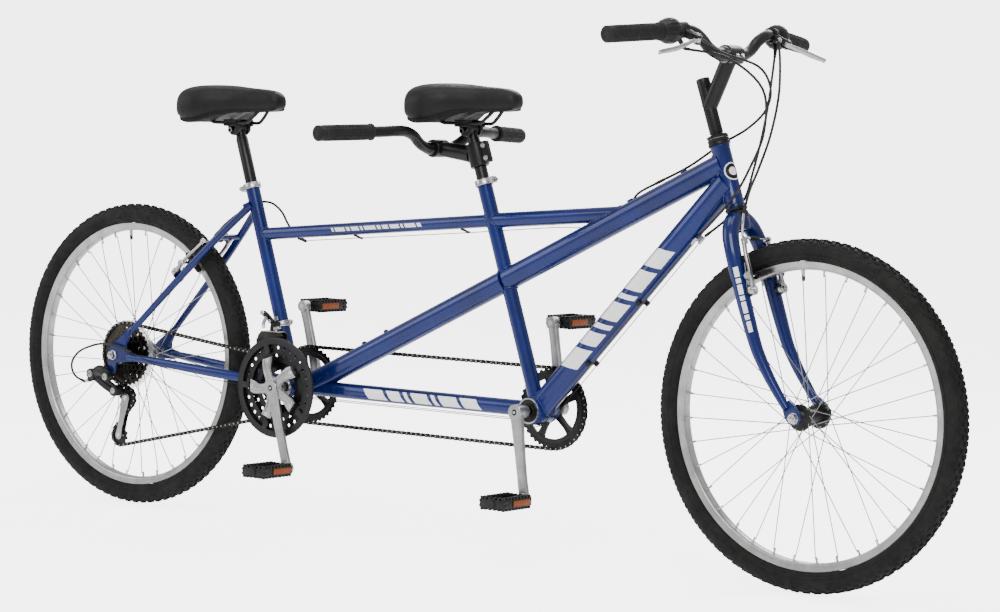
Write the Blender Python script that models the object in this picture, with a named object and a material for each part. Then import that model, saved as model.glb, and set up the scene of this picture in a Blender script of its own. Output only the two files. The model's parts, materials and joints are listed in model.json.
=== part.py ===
"""Tandem bicycle with two saddles, timing chain on the left and geared drive chain on the right.

Metres, +Z up. +X is the direction of travel, -Y is the riders' right (drive) side. The origin is on the
ground, midway between the two axles and on the centre plane.
"""
import math

import bpy
import bmesh
from mathutils import Matrix, Vector

# Driving dimensions
WHEELBASE = 1.7285
TYRE_RADIUS = 0.329
TYRE_SECTION = 0.304          # radius of the middle of the tyre's section
RIM_RADIUS = 0.2868
RIM_HALF_WIDTH = 0.0125
WHEEL_STEPS = 36
AXLE_HEIGHT = TYRE_RADIUS
GAP = 0.0003                  # between pieces that touch
RUN = 0.0005                  # between a shaft and what turns on it
CHAIN_PITCH = 0.0127
CHAIN_HALF_HEIGHT = 0.0034
CHAIN_HALF_WIDTH = 0.0033
CRANK_LENGTH = 0.170
REAR_CRANK_ANGLE = math.radians(-72.5)
FRONT_CRANK_ANGLE = math.radians(-79.6)
SMALL_RING_TEETH = 28
SPROCKET_TEETH = 34
TIMING_TEETH = 40
PULLEY_TEETH = 11
RIGHT, LEFT = -1, 1
Y_AXIS = Vector((0, 1, 0))


def side(x, z, y=0.0):
    """A point of the side view: x from the rear axle, z from the ground, y from the centre plane."""
    return Vector((x - WHEELBASE / 2, y, z))


def pitch_radius(teeth):
    return teeth * CHAIN_PITCH / (2 * math.pi)


# Side-view points of the frame
REAR_AXLE = side(0.0, AXLE_HEIGHT)
FRONT_AXLE = side(WHEELBASE, AXLE_HEIGHT)
REAR_BB = side(0.466, 0.292)
FRONT_BB = side(1.105, 0.292)
HEAD_TOP = side(1.5139, 0.8225)
HEAD_BOTTOM = side(1.5538, 0.7076)
HEAD_UP = (HEAD_TOP - HEAD_BOTTOM).normalized()
HEAD_FORWARD = Vector((HEAD_UP.z, 0, -HEAD_UP.x))
FRONT_SEAT_TOP = side(0.9535, 0.7400)
REAR_SEAT_TOP = side(0.3310, 0.7125)
FRONT_SEAT_UP = (FRONT_SEAT_TOP - FRONT_BB).normalized()
REAR_SEAT_UP = (REAR_SEAT_TOP - REAR_BB).normalized()
LATERAL_AT_HEAD = side(1.5255, 0.7892)
LATERAL_AT_SEAT = side(1.0178, 0.5438)
LATERAL_LOW_END = side(0.4930, 0.2920)
LATERAL_UP = (LATERAL_AT_HEAD - LATERAL_AT_SEAT).normalized()
DOWN_AT_HEAD = side(1.5370, 0.7561)
TOP_AT_REAR_SEAT = side(0.3636, 0.6067)
TOP_AT_FRONT_SEAT = side(0.9787, 0.6602)
TOP_AT_LATERAL = side(1.3159, 0.6879)
STAY_UP = (side(0.190, 0.520) - side(0.052, 0.386)).normalized()
STAY_OUT = Vector((-STAY_UP.z, 0, STAY_UP.x))
FRONT_POST_TOP, REAR_POST_TOP = 0.112, 0.128     # above the seat tubes
POST_LENGTH = 0.260
BOSS_LENGTH = 0.016
DROPOUT_Y, DROPOUT_THICK = 0.0675, 0.006
BRAKE_PAD_UP = 0.0275

# Tube radii
HEAD_R, LATERAL_R, DOWN_R, SEAT_R = 0.018, 0.0225, 0.025, 0.015
TOP_R, FRONT_TOP_R, BOOM_R = 0.013, 0.015, 0.016
WALL = 0.0018
SEAT_BORE = 0.0130
POST_R = 0.0127
STEERER_R, STEERER_BORE, QUILL_R = 0.0127, 0.0115, 0.0111
REAR_SHELL_R, FRONT_SHELL_R, SHELL_HALF = 0.020, 0.027, 0.034
REAR_SHELL_BORE, FRONT_SHELL_BORE = 0.017, 0.0235
SPINDLE_R = 0.0085
AXLE_R = 0.0048

# Chain lines, as distances along Y
DRIVE_RING_Y, SPROCKET_Y = -0.0425, -0.0320
TIMING_Y = 0.0450
MID_RING_Y, BIG_RING_Y, GUARD_Y = -0.0500, -0.0575, -0.0640
MID_RING_R, BIG_RING_R, GUARD_R = 0.078, 0.099, 0.105
RING_CLEARANCE = 0.005        # the ring bodies stay this far inside the chain's pitch line
GUIDE_PULLEY = side(0.0045, 0.2335, SPROCKET_Y)
TENSION_PULLEY = side(-0.0150, 0.1500, SPROCKET_Y)

# Bars: points of the right half, mirrored for the left
CAPTAIN_BAR = [(1.533, 0.000, 0.993), (1.533, 0.040, 0.993), (1.531, 0.070, 1.003), (1.530, 0.095, 1.020),
               (1.530, 0.120, 1.031), (1.526, 0.145, 1.034), (1.518, 0.180, 1.0315), (1.4835, 0.328, 1.0200)]
STOKER_BAR = [(0.836, 0.000, 0.800), (0.836, 0.036, 0.801), (0.838, 0.062, 0.810), (0.843, 0.088, 0.825),
              (0.845, 0.115, 0.833), (0.842, 0.145, 0.834), (0.833, 0.180, 0.832), (0.7950, 0.320, 0.8270)]
BAR_R = 0.011
GRIP_R = 0.0155
BAR_FIT = BAR_R / math.cos(math.pi / 12) + GAP
CLAMP_FIT = (BAR_R + 0.0018) / math.cos(math.pi / 16) + 2 * GAP
LEVER_REACH = Vector((0.90, 0, -0.4359))

# Colours, roughness and metallic of each material
MATERIALS = {
    "blue_paint": ((0.020, 0.055, 0.300), 0.25, 0.6),
    "black_paint": ((0.015, 0.015, 0.016), 0.35, 0.2),
    "tyre_rubber": ((0.020, 0.020, 0.020), 0.80, 0.0),
    "rim_alloy": ((0.62, 0.62, 0.62), 0.35, 0.9),
    "polished_alloy": ((0.66, 0.66, 0.67), 0.28, 1.0),
    "black_plastic": ((0.020, 0.020, 0.021), 0.50, 0.0),
    "grip_rubber": ((0.025, 0.025, 0.025), 0.85, 0.0),
    "saddle_skin": ((0.018, 0.018, 0.019), 0.45, 0.0),
    "dark_steel": ((0.060, 0.055, 0.050), 0.45, 0.9),
    "cable_housing": ((0.020, 0.020, 0.020), 0.50, 0.0),
}


# ---------------------------------------------------------------- modelling helpers
def material(slot):
    found = bpy.data.materials.get(slot)
    if found:
        return found
    colour, roughness, metallic = MATERIALS[slot]
    made = bpy.data.materials.new(slot)
    made.use_nodes = True
    shader = made.node_tree.nodes["Principled BSDF"]
    shader.inputs["Base Color"].default_value = (*colour, 1.0)
    shader.inputs["Roughness"].default_value = roughness
    shader.inputs["Metallic"].default_value = metallic
    return made


def to_object(bm, name="cutter"):
    """Links a bmesh as an object with its faces pointing out."""
    bmesh.ops.recalc_face_normals(bm, faces=bm.faces)
    mesh = bpy.data.meshes.new(name)
    bm.to_mesh(mesh)
    bm.free()
    obj = bpy.data.objects.new(name, mesh)
    bpy.context.scene.collection.objects.link(obj)
    return obj


def across(axis):
    """Two directions square to an axis, the first as near to +Y as it can be."""
    first = Y_AXIS if abs(axis.y) < 0.9 else Vector((1, 0, 0))
    first = (first - axis * axis.dot(first)).normalized()
    return first, axis.cross(first)


def skin(rings, closed_path):
    """Quads between successive rings of points, with end caps on an open path."""
    bm = bmesh.new()
    rows = [[bm.verts.new(p) for p in ring] for ring in rings]
    count = len(rows[0])
    pairs = list(zip(rows, rows[1:] + rows[:1])) if closed_path else list(zip(rows, rows[1:]))
    for low, high in pairs:
        for i in range(count):
            j = (i + 1) % count
            bm.faces.new((low[i], low[j], high[j], high[i]))
    if not closed_path:
        bm.faces.new(rows[0])
        bm.faces.new(rows[-1])
    return bm


def circle(centre, axis, radius, sides, stretch=1.0):
    first, second = across(axis)
    turn = 2 * math.pi / sides
    return [centre + first * radius * math.cos(i * turn) + second * radius * stretch * math.sin(i * turn)
            for i in range(sides)]


def rod(start, end, radius, end_radius=None, sides=16, stretch=1.0):
    """A round bar, tapered where end_radius is given."""
    axis = (end - start).normalized()
    radii = (radius, radius if end_radius is None else end_radius)
    return to_object(skin([circle(p, axis, r, sides, stretch) for p, r in zip((start, end), radii)], False))


def tube(start, end, radius, bore, sides=20):
    """A straight pipe, open at both ends."""
    axis = (end - start).normalized()
    loops = ((start, radius), (end, radius), (end, bore), (start, bore))
    return to_object(skin([circle(p, axis, r, sides) for p, r in loops], True))


def sweep(points, radii, sides=8, stretch=1.0):
    """A round bar along a bent path; radii is one radius or one for each point."""
    if not isinstance(radii, (list, tuple)):
        radii = [radii] * len(points)
    rings = []
    first = None
    for i, point in enumerate(points):
        axis = (points[min(i + 1, len(points) - 1)] - points[max(i - 1, 0)]).normalized()
        first = across(axis)[0] if first is None else (first - axis * axis.dot(first)).normalized()
        second = axis.cross(first)
        rings.append([point + (first * math.cos(a) + second * stretch * math.sin(a)) * radii[i]
                      for a in (2 * math.pi * k / sides for k in range(sides))])
    return to_object(skin(rings, False))


def lathe(profile, centre, axis=Y_AXIS, steps=24):
    """Turns a closed profile of (radius, distance along the axis) that never meets the axis."""
    first, second = across(axis)
    rings = [[centre + axis * d + (first * math.cos(a) + second * math.sin(a)) * r for r, d in profile]
             for a in (2 * math.pi * i / steps for i in range(steps))]
    return to_object(skin(rings, True))


def turned(profile, centre, axis=Y_AXIS, steps=20):
    """A solid of discs: (radius, distance along the axis) from one flat end to the other."""
    return to_object(skin([circle(centre + axis * d, axis, r, steps) for r, d in profile], False))


def prism(outline, low_y, high_y):
    """A side-view outline of (x, z) points given thickness along Y."""
    return to_object(skin([[side(x, z, y) for x, z in outline] for y in (low_y, high_y)], False))


def block(centre, size, forward=Vector((1, 0, 0)), across_y=Y_AXIS):
    """A box whose sides are size along forward, across and up."""
    up = forward.cross(across_y).normalized()
    corners = []
    for f in (-0.5, 0.5):
        ring = [(-0.5, -0.5), (0.5, -0.5), (0.5, 0.5), (-0.5, 0.5)]
        corners.append([centre + forward * size[0] * f + across_y * size[1] * a + up * size[2] * u
                        for a, u in ring])
    return to_object(skin(corners, False))


def hide(cutter):
    cutter.hide_render = True
    cutter.hide_set(True)
    cutter.display_type = "WIRE"


def combine(obj, others, operation, solver):
    for number, other in enumerate(others):
        modifier = obj.modifiers.new(f"{operation.lower()}_{number}", "BOOLEAN")
        modifier.operation = operation
        modifier.solver = solver
        modifier.object = other
        hide(other)


def part(name, slot, base, add=(), cut=(), origin=None, solver="EXACT"):
    """Names a sub-part: base with others fused on, then others cut away."""
    base.name = base.data.name = name
    base.data.materials.append(material(slot))
    if origin is not None:
        base.data.transform(Matrix.Translation(-origin))
        base.location = origin
    combine(base, add, "UNION", solver)
    combine(base, cut, "DIFFERENCE", solver)
    base.data.shade_smooth()
    base.data.set_sharp_from_angle(angle=math.radians(35))
    return base


def clear_of(start, end, radius, gap=GAP, sides=20):
    """A cutter that leaves a gap around a round tube."""
    return rod(start, end, radius + gap, sides=sides)


def mirrored(points, hand):
    return [side(x, z, y * hand) for x, y, z in points]


def belt(circles, step_degrees=12):
    """A closed chain line round circles of (centre, radius, sense, y), as (point, inward normal) pairs.

    Sense is 1 where the chain turns from +X towards +Z and -1 the other way.
    """
    count = len(circles)
    headings = []
    for i in range(count):
        (c0, r0, s0, _), (c1, r1, s1, _) = circles[i], circles[(i + 1) % count]
        run = c1 - c0
        length = math.hypot(run.x, run.z)
        headings.append(math.atan2(run.z, run.x) - math.asin((s1 * r1 - s0 * r0) / length))
    line = []
    for i, (centre, radius, sense, y) in enumerate(circles):
        start, end = headings[i - 1], headings[i]
        turn = (end - start) % (2 * math.pi) if sense > 0 else -((start - end) % (2 * math.pi))
        steps = max(2, round(abs(turn) / math.radians(step_degrees)))
        for k in range(steps + 1):
            heading = start + turn * k / steps
            inward = Vector((-math.sin(heading), 0, math.cos(heading)))
            point = Vector((centre.x, y, centre.z)) - inward * radius * sense
            line.append((point, inward))
    return line


def band(line):
    """The chain as a closed strip of rectangular section."""
    up, out = CHAIN_HALF_HEIGHT, CHAIN_HALF_WIDTH
    corners = ((-up, -out), (up, -out), (up, out), (-up, out))
    return to_object(skin([[p + n * h + Y_AXIS * w for h, w in corners] for p, n in line], True))


# ---------------------------------------------------------------- frame
def head_tube():
    """The head tube with the headset cups pressed into both ends."""
    length = (HEAD_TOP - HEAD_BOTTOM).length
    cup, bore = HEAD_R + 0.0035, STEERER_R + RUN
    profile = [(bore, -0.0070), (cup, -0.0070), (cup, 0.0), (HEAD_R, 0.0), (HEAD_R, length), (cup, length),
               (cup, length + 0.0060), (HEAD_R + 0.0015, length + 0.0080), (cup, length + 0.0110),
               (cup, length + 0.0200), (bore, length + 0.0200)]
    part("head_tube", "blue_paint", lathe(profile, HEAD_BOTTOM, HEAD_UP, 20))


def lateral_tubes():
    """The long diagonal in two lengths that meet the front seat tube; the front one carries the top tube."""
    seat = (FRONT_BB, FRONT_SEAT_TOP, SEAT_R)
    half_gap = LATERAL_UP * GAP / 2
    front = rod(LATERAL_AT_SEAT + half_gap, LATERAL_AT_HEAD, LATERAL_R, sides=20)
    top = rod(TOP_AT_FRONT_SEAT, TOP_AT_LATERAL, FRONT_TOP_R, sides=16)
    bores = [rod(LATERAL_AT_SEAT - LATERAL_UP * 0.01, LATERAL_AT_HEAD + LATERAL_UP * 0.01, LATERAL_R - WALL,
                 sides=20),
             rod(TOP_AT_FRONT_SEAT - LATERAL_UP * 0.01, TOP_AT_LATERAL, FRONT_TOP_R - WALL, sides=16)]
    head_cut = clear_of(HEAD_BOTTOM - HEAD_UP * 0.03, HEAD_TOP + HEAD_UP * 0.03, HEAD_R)
    part("lateral_tube_front", "blue_paint", front, [top], bores + [clear_of(*seat), head_cut],
         solver="MANIFOLD")

    rear = tube(LATERAL_LOW_END, LATERAL_AT_SEAT - half_gap, LATERAL_R, LATERAL_R - WALL)
    bosses = []
    boss_up = Vector((-LATERAL_UP.z, 0, LATERAL_UP.x))
    for along in (0.395, 0.331):
        foot = LATERAL_AT_SEAT - LATERAL_UP * along + boss_up * (LATERAL_R - 0.001)
        bosses.append(rod(foot, foot + boss_up * 0.005, 0.005, sides=12))
    shell = rod(REAR_BB - Y_AXIS * 0.05, REAR_BB + Y_AXIS * 0.05, REAR_SHELL_R + GAP, sides=20)
    boom = clear_of(REAR_BB, FRONT_BB, BOOM_R)
    part("lateral_tube_rear", "blue_paint", rear, bosses, [clear_of(*seat), shell, boom])


def down_tube():
    along = (DOWN_AT_HEAD - FRONT_BB).normalized()
    body = tube(FRONT_BB, DOWN_AT_HEAD, DOWN_R, DOWN_R - WALL)
    stop_foot = FRONT_BB + along * 0.510 + Vector((along.z, 0, -along.x)) * (DOWN_R - 0.001)
    stop = block(stop_foot, (0.012, 0.016, 0.010), along)
    cuts = [clear_of(HEAD_BOTTOM - HEAD_UP * 0.03, HEAD_TOP, HEAD_R),
            clear_of(LATERAL_AT_SEAT, LATERAL_AT_HEAD + LATERAL_UP * 0.03, LATERAL_R),
            rod(FRONT_BB - Y_AXIS * 0.05, FRONT_BB + Y_AXIS * 0.05, FRONT_SHELL_R + GAP, sides=24)]
    part("down_tube", "blue_paint", body, [stop], cuts)


def seat_tubes():
    down = clear_of(FRONT_BB - (DOWN_AT_HEAD - FRONT_BB) * 0.1, DOWN_AT_HEAD, DOWN_R)
    front_shell = rod(FRONT_BB - Y_AXIS * 0.05, FRONT_BB + Y_AXIS * 0.05, FRONT_SHELL_R + GAP, sides=24)
    rear_shell = rod(REAR_BB - Y_AXIS * 0.05, REAR_BB + Y_AXIS * 0.05, REAR_SHELL_R + GAP, sides=20)
    boom = clear_of(REAR_BB, FRONT_BB, BOOM_R)
    lateral = clear_of(LATERAL_LOW_END - LATERAL_UP * 0.02, LATERAL_AT_SEAT, LATERAL_R)
    part("front_seat_tube", "blue_paint", tube(FRONT_BB, FRONT_SEAT_TOP, SEAT_R, SEAT_BORE), [],
         [front_shell, down, clear_of(REAR_BB, FRONT_BB, BOOM_R)])
    top = rod(TOP_AT_REAR_SEAT, TOP_AT_FRONT_SEAT, TOP_R)
    bores = [rod(REAR_BB - REAR_SEAT_UP * 0.01, REAR_SEAT_TOP + REAR_SEAT_UP * 0.01, SEAT_BORE, sides=20),
             rod(TOP_AT_REAR_SEAT, TOP_AT_FRONT_SEAT, TOP_R - WALL)]
    part("rear_seat_and_top_tube", "blue_paint", rod(REAR_BB, REAR_SEAT_TOP, SEAT_R, sides=20), [top],
         bores + [rear_shell, boom, lateral, clear_of(FRONT_BB, FRONT_SEAT_TOP, SEAT_R)], solver="MANIFOLD")


def bottom_bracket_boom():
    """The lower tube with the rear shell and the wider eccentric shell at its ends."""
    add, cut = [], []
    for centre, radius, bore, sides in ((REAR_BB, REAR_SHELL_R, REAR_SHELL_BORE, 20),
                                        (FRONT_BB, FRONT_SHELL_R, FRONT_SHELL_BORE, 24)):
        add.append(rod(centre - Y_AXIS * SHELL_HALF, centre + Y_AXIS * SHELL_HALF, radius, sides=sides))
        cut.append(rod(centre - Y_AXIS * 0.05, centre + Y_AXIS * 0.05, bore, sides=sides))
    inside = rod(REAR_BB, FRONT_BB, BOOM_R - WALL)
    part("bottom_bracket_boom", "blue_paint", rod(REAR_BB, FRONT_BB, BOOM_R), add, [inside] + cut)


def seat_stays():
    """Both stays with the bridge above the wheel and the brake bosses."""
    legs, bosses = [], []
    for hand in (RIGHT, LEFT):
        path = [side(0.052, 0.386, 0.0675 * hand), side(0.190, 0.520, 0.0500 * hand),
                side(0.275, 0.603, 0.0330 * hand),
                side(0.341, 0.666, 0.0130 * hand)]
        legs.append(sweep(path, [0.0065, 0.008, 0.008, 0.0075], 10))
        foot = side(0.176, 0.507, 0.0515 * hand)
        bosses.append(rod(foot, foot + STAY_OUT * BOSS_LENGTH, 0.005, sides=10))
    bridge = rod(side(0.268, 0.596, -0.034), side(0.268, 0.596, 0.034), 0.006, sides=10)
    joined = legs[1:] + bosses + [bridge]
    part("seat_stays", "blue_paint", legs[0], joined, [clear_of(REAR_BB, REAR_SEAT_TOP, SEAT_R)])


def chain_stays():
    """Both stays with the dropout plates, the bridge behind the shell and the derailleur hanger."""
    pieces = []
    for hand in (RIGHT, LEFT):
        path = [side(0.040, 0.3275, 0.0700 * hand), side(0.130, 0.3210, 0.0600 * hand),
                side(0.300, 0.3070, 0.0430 * hand), side(0.390, 0.3000, 0.0290 * hand),
                side(0.462, 0.2945, 0.0200 * hand)]
        pieces.append(sweep(path, [0.0065, 0.0080, 0.0095, 0.0090, 0.0085], 10, 1.15))
        outline = [(-0.014, 0.318), (-0.014, 0.342), (0.030, 0.376), (0.046, 0.391), (0.054, 0.383),
                   (0.036, 0.352),
                   (0.036, 0.338), (0.060, 0.334), (0.060, 0.318), (0.010, 0.314)]
        if hand == RIGHT:
            outline[0:0] = [(0.004, 0.292), (-0.018, 0.292)]
        faces = sorted((DROPOUT_Y * hand, (DROPOUT_Y + DROPOUT_THICK) * hand))
        pieces.append(prism(outline, *faces))
    pieces.append(rod(side(0.378, 0.301, -0.030), side(0.378, 0.301, 0.030), 0.006, sides=10))
    shell = rod(REAR_BB - Y_AXIS * 0.06, REAR_BB + Y_AXIS * 0.06, REAR_SHELL_R + GAP, sides=20)
    axle = rod(REAR_AXLE - Y_AXIS * 0.09, REAR_AXLE + Y_AXIS * 0.09, AXLE_R + RUN, sides=16)
    stays = [seat_stay_cutter(hand) for hand in (RIGHT, LEFT)]
    part("chain_stays", "blue_paint", pieces[0], pieces[1:],
         [shell, axle, clear_of(REAR_BB, REAR_SEAT_TOP, SEAT_R)] + stays)


def seat_stay_cutter(hand):
    start = side(0.052, 0.386, 0.0675 * hand)
    return rod(start - STAY_UP * 0.001, start + STAY_UP * 0.05, 0.0065 + 0.0006, sides=10)


def seat_collars():
    for name, top, up, lug_forward in (("front_seat_collar", FRONT_SEAT_TOP, FRONT_SEAT_UP, 1),
                                       ("rear_seat_collar", REAR_SEAT_TOP, REAR_SEAT_UP, -1)):
        forward = Vector((up.z, 0, -up.x)) * lug_forward
        low, high = -0.013, 0.002
        profile = [(SEAT_R + 0.0035, low), (SEAT_R + 0.0035, high), (SEAT_R + GAP, high), (SEAT_R + GAP, low)]
        ring = lathe(profile, top, up, 20)
        lug = block(top + up * (low + high) / 2 + forward * (SEAT_R + 0.0075), (0.013, 0.012, 0.010), forward)
        bolt_centre = top + up * (low + high) / 2 + forward * (SEAT_R + 0.009)
        bolt = rod(bolt_centre - Y_AXIS * 0.011, bolt_centre + Y_AXIS * 0.011, 0.0028, sides=8)
        part(name, "polished_alloy", ring, [lug, bolt], [clear_of(top - up * 0.1, top + up * 0.1, SEAT_R)])


# ---------------------------------------------------------------- wheels
def wheel(name, centre, tyre_hub):
    axle_y = Y_AXIS
    half = [(TYRE_RADIUS, 0.0), (0.3250, 0.0140), (TYRE_SECTION + 0.002, 0.0250), (RIM_RADIUS + RUN, 0.0128)]
    inner = [(RIM_RADIUS + RUN, 0.0095), (TYRE_SECTION + 0.002, 0.0205)]
    crown = [(0.3245, 0.0)]
    profile = (half + inner + crown + [(r, -y) for r, y in reversed(inner)]
               + [(r, -y) for r, y in reversed(half[1:])])
    part(f"{name}_tyre", "tyre_rubber", lathe(profile, centre, axle_y, WHEEL_STEPS), origin=centre)
    rim = [(RIM_RADIUS, RIM_HALF_WIDTH), (0.2730, 0.0115), (0.2712, 0.0040)]
    bed = [(RIM_RADIUS, 0.0100)]
    floor = [(0.2790, 0.0)]
    ring = rim + [(r, -y) for r, y in reversed(rim)] + [(r, -y) for r, y in bed] + floor + bed
    part(f"{name}_rim", "rim_alloy", lathe(ring, centre, axle_y, WHEEL_STEPS), origin=centre)
    tyre_hub(centre)


def spokes(centre, flange_y, flange_radius, count=18):
    """One side's spokes, all leaning the same way so that none meets another."""
    bm = bmesh.new()
    hand = 1 if flange_y > 0 else -1
    half = 0.0010
    for i in range(count):
        foot_angle = 2 * math.pi * (i + 0.25 * hand) / count
        rim_angle = foot_angle + hand * math.radians(38)
        foot, tip = [centre + Vector((math.cos(a) * r, y, math.sin(a) * r))
                     for a, r, y in ((foot_angle, flange_radius - 0.003, flange_y),
                                     (rim_angle, 0.2690, 0.0025 * hand))]
        axis = (tip - foot).normalized()
        first, second = across(axis)
        rings = [[bm.verts.new(end + first * u * half + second * v * half)
                  for u, v in ((-1, -1), (1, -1), (0, 1))]
                 for end in (foot, tip)]
        for k in range(3):
            bm.faces.new((rings[0][k], rings[0][(k + 1) % 3], rings[1][(k + 1) % 3], rings[1][k]))
        bm.faces.new(rings[0])
        bm.faces.new(rings[1])
    return to_object(bm)


def front_hub(centre):
    bore = AXLE_R + RUN
    half = [(0.0085, 0.0440), (0.0150, 0.0370), (0.0220, 0.0345), (0.0220, 0.0315), (0.0150, 0.0290)]
    profile = [(bore, 0.0440)] + half + [(r, -y) for r, y in reversed(half)] + [(bore, -0.0440)]
    part("front_hub", "black_paint", lathe(profile, centre, Y_AXIS, 16),
         [spokes(centre, flange, 0.0220) for flange in (0.033, -0.033)], origin=centre)


def rear_hub(centre):
    """The hub with its spokes and the guard disc between spokes and sprockets."""
    bore = AXLE_R + RUN
    profile = [(bore, 0.0540), (0.0090, 0.0540), (0.0150, 0.0390), (0.0240, 0.0365), (0.0240, 0.0335),
               (0.0160, 0.0300),
               (0.0160, -0.0160), (0.0250, -0.0185), (0.0250, -0.0215), (0.0210, -0.0235), (0.0740, -0.0255),
               (0.0740, -0.0268), (0.0140, -0.0268), (bore, -0.0268)]
    part("rear_hub", "polished_alloy", lathe(profile, centre, Y_AXIS, 16),
         [spokes(centre, flange, radius) for flange, radius in ((0.035, 0.0240), (-0.020, 0.0250))],
         origin=centre)


def axles():
    for name, centre, inner, outer in (("front_axle", FRONT_AXLE, 0.0563, 0.0680),
                                       ("rear_axle", REAR_AXLE, 0.0738, 0.0860)):
        nut = 0.0095
        half = [(AXLE_R, outer), (AXLE_R, outer - 0.003), (nut, outer - 0.0032), (nut, inner + GAP),
                (AXLE_R, inner)]
        profile = half + [(r, -y) for r, y in reversed(half)]
        part(name, "polished_alloy", turned(profile, centre, Y_AXIS, 12))


def freewheel():
    """Seven sprockets as one stepped block, the largest inboard with the chain on it."""
    teeth = (34, 28, 24, 21, 18, 16, 14)
    spacing, half = 0.0050, 0.0010
    profile = []
    for number, count in enumerate(teeth):
        y = SPROCKET_Y - number * spacing
        radius = pitch_radius(count) - (RING_CLEARANCE if number == 0 else -0.002)
        profile += [(radius, y + half), (radius, y - half)]
    bore = AXLE_R + RUN
    profile = [(bore, SPROCKET_Y + half + 0.0015), (0.019, SPROCKET_Y + half + 0.0015)] + profile
    profile += [(0.018, profile[-1][1] - 0.0005), (bore, profile[-1][1] - 0.0005)]
    part("freewheel", "dark_steel", lathe(profile, REAR_AXLE, Y_AXIS, 16), origin=REAR_AXLE)


# ---------------------------------------------------------------- drive
def arm_point(centre, angle, along, y):
    return centre + Vector((math.cos(angle) * along, y, math.sin(angle) * along))


def crank_arm(centre, angle, hand, inner_y, spindle_from):
    """The forged arm, the pedal spindle on its end and a square to the bottom bracket spindle."""
    path = [arm_point(centre, angle, along, y * hand)
            for along, y in ((-0.012, 0.0720), (0.000, 0.0725), (0.050, 0.0755), (0.120, 0.0795),
                             (0.170, 0.0810),
                             (0.181, 0.0810))]
    arm = sweep(path, [0.0100, 0.0150, 0.0115, 0.0100, 0.0120, 0.0080], 8)
    eye = arm_point(centre, angle, CRANK_LENGTH, 0.0)
    pin = rod(eye + Y_AXIS * 0.0810 * hand, eye + Y_AXIS * 0.1820 * hand, 0.0045, sides=10)
    boss = rod(centre + Y_AXIS * inner_y * hand, centre + Y_AXIS * 0.0800 * hand, 0.0140, sides=16)
    pieces = [boss, pin]
    if spindle_from is not None:
        pieces.append(rod(centre + Y_AXIS * spindle_from, centre + Y_AXIS * 0.07 * hand, SPINDLE_R, sides=12))
    return arm, pieces


def cranks():
    for name, centre, angle in (("rear", REAR_BB, REAR_CRANK_ANGLE), ("front", FRONT_BB, FRONT_CRANK_ANGLE)):
        arm, pieces = crank_arm(centre, angle, RIGHT, 0.0500 if name == "rear" else 0.0440, 0.0480)
        if name == "rear":
            spider_y = GUARD_Y - 0.0042
            for k in range(5):
                lean = angle + math.radians(36 + 72 * k)
                outwards = Vector((math.cos(lean), 0, math.sin(lean)))
                pieces.append(block(centre + Y_AXIS * spider_y + outwards * 0.048, (0.084, 0.0046, 0.012),
                                    outwards))
        part(f"{name}_right_crank", "polished_alloy", arm, pieces, origin=centre)

        arm, pieces = crank_arm(centre, angle + math.pi, LEFT, 0.0560, None)
        ring_radius = pitch_radius(TIMING_TEETH) - RING_CLEARANCE
        profile = [(ring_radius, TIMING_Y + 0.0015), (ring_radius, TIMING_Y - 0.0015),
                   (0.060, TIMING_Y - 0.0015),
                   (0.060, TIMING_Y + 0.0015)]
        pieces.append(lathe(profile, centre, Y_AXIS, 24))
        pieces.append(rod(centre + Y_AXIS * (TIMING_Y - 0.003), centre + Y_AXIS * 0.060, 0.020, sides=16))
        for k in range(5):
            lean = angle + math.radians(36 + 72 * k)
            outwards = Vector((math.cos(lean), 0, math.sin(lean)))
            pieces.append(block(centre + Y_AXIS * TIMING_Y + outwards * 0.040, (0.050, 0.0024, 0.013),
                                outwards))
        bore = rod(centre + Y_AXIS * 0.02, centre + Y_AXIS * 0.0490, SPINDLE_R + RUN, sides=12)
        part(f"{name}_left_crank", "polished_alloy", arm, pieces, [bore], origin=centre)


def drive_chainrings():
    """The three rings and the outer guard as one stepped ring, the chain on the smallest."""
    small = pitch_radius(SMALL_RING_TEETH) - RING_CLEARANCE
    half = 0.0015
    profile = [(0.030, DRIVE_RING_Y + half), (small, DRIVE_RING_Y + half),
               (small, MID_RING_Y + half + 0.0005),
               (MID_RING_R, MID_RING_Y + half), (MID_RING_R, MID_RING_Y - half),
               (0.070, BIG_RING_Y + half + 0.001),
               (BIG_RING_R, BIG_RING_Y + half), (BIG_RING_R, BIG_RING_Y - half), (0.094, GUARD_Y + half),
               (GUARD_R, GUARD_Y + half), (GUARD_R, GUARD_Y - 0.001), (0.084, GUARD_Y - 0.001),
               (0.064, BIG_RING_Y - half), (0.045, MID_RING_Y - half), (0.030, DRIVE_RING_Y - half)]
    part("drive_chainrings", "black_paint", lathe(profile, REAR_BB, Y_AXIS, 22), origin=REAR_BB)


def chains():
    timing = [(centre, pitch_radius(TIMING_TEETH), 1, TIMING_Y) for centre in (FRONT_BB, REAR_BB)]
    part("timing_chain", "dark_steel", band(belt(timing)))
    drive = [(REAR_BB, pitch_radius(SMALL_RING_TEETH), 1, DRIVE_RING_Y),
             (REAR_AXLE, pitch_radius(SPROCKET_TEETH), 1, SPROCKET_Y),
             (GUIDE_PULLEY, pitch_radius(PULLEY_TEETH), -1, SPROCKET_Y),
             (TENSION_PULLEY, pitch_radius(PULLEY_TEETH), 1, SPROCKET_Y)]
    part("drive_chain", "dark_steel", band(belt(drive)))


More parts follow.
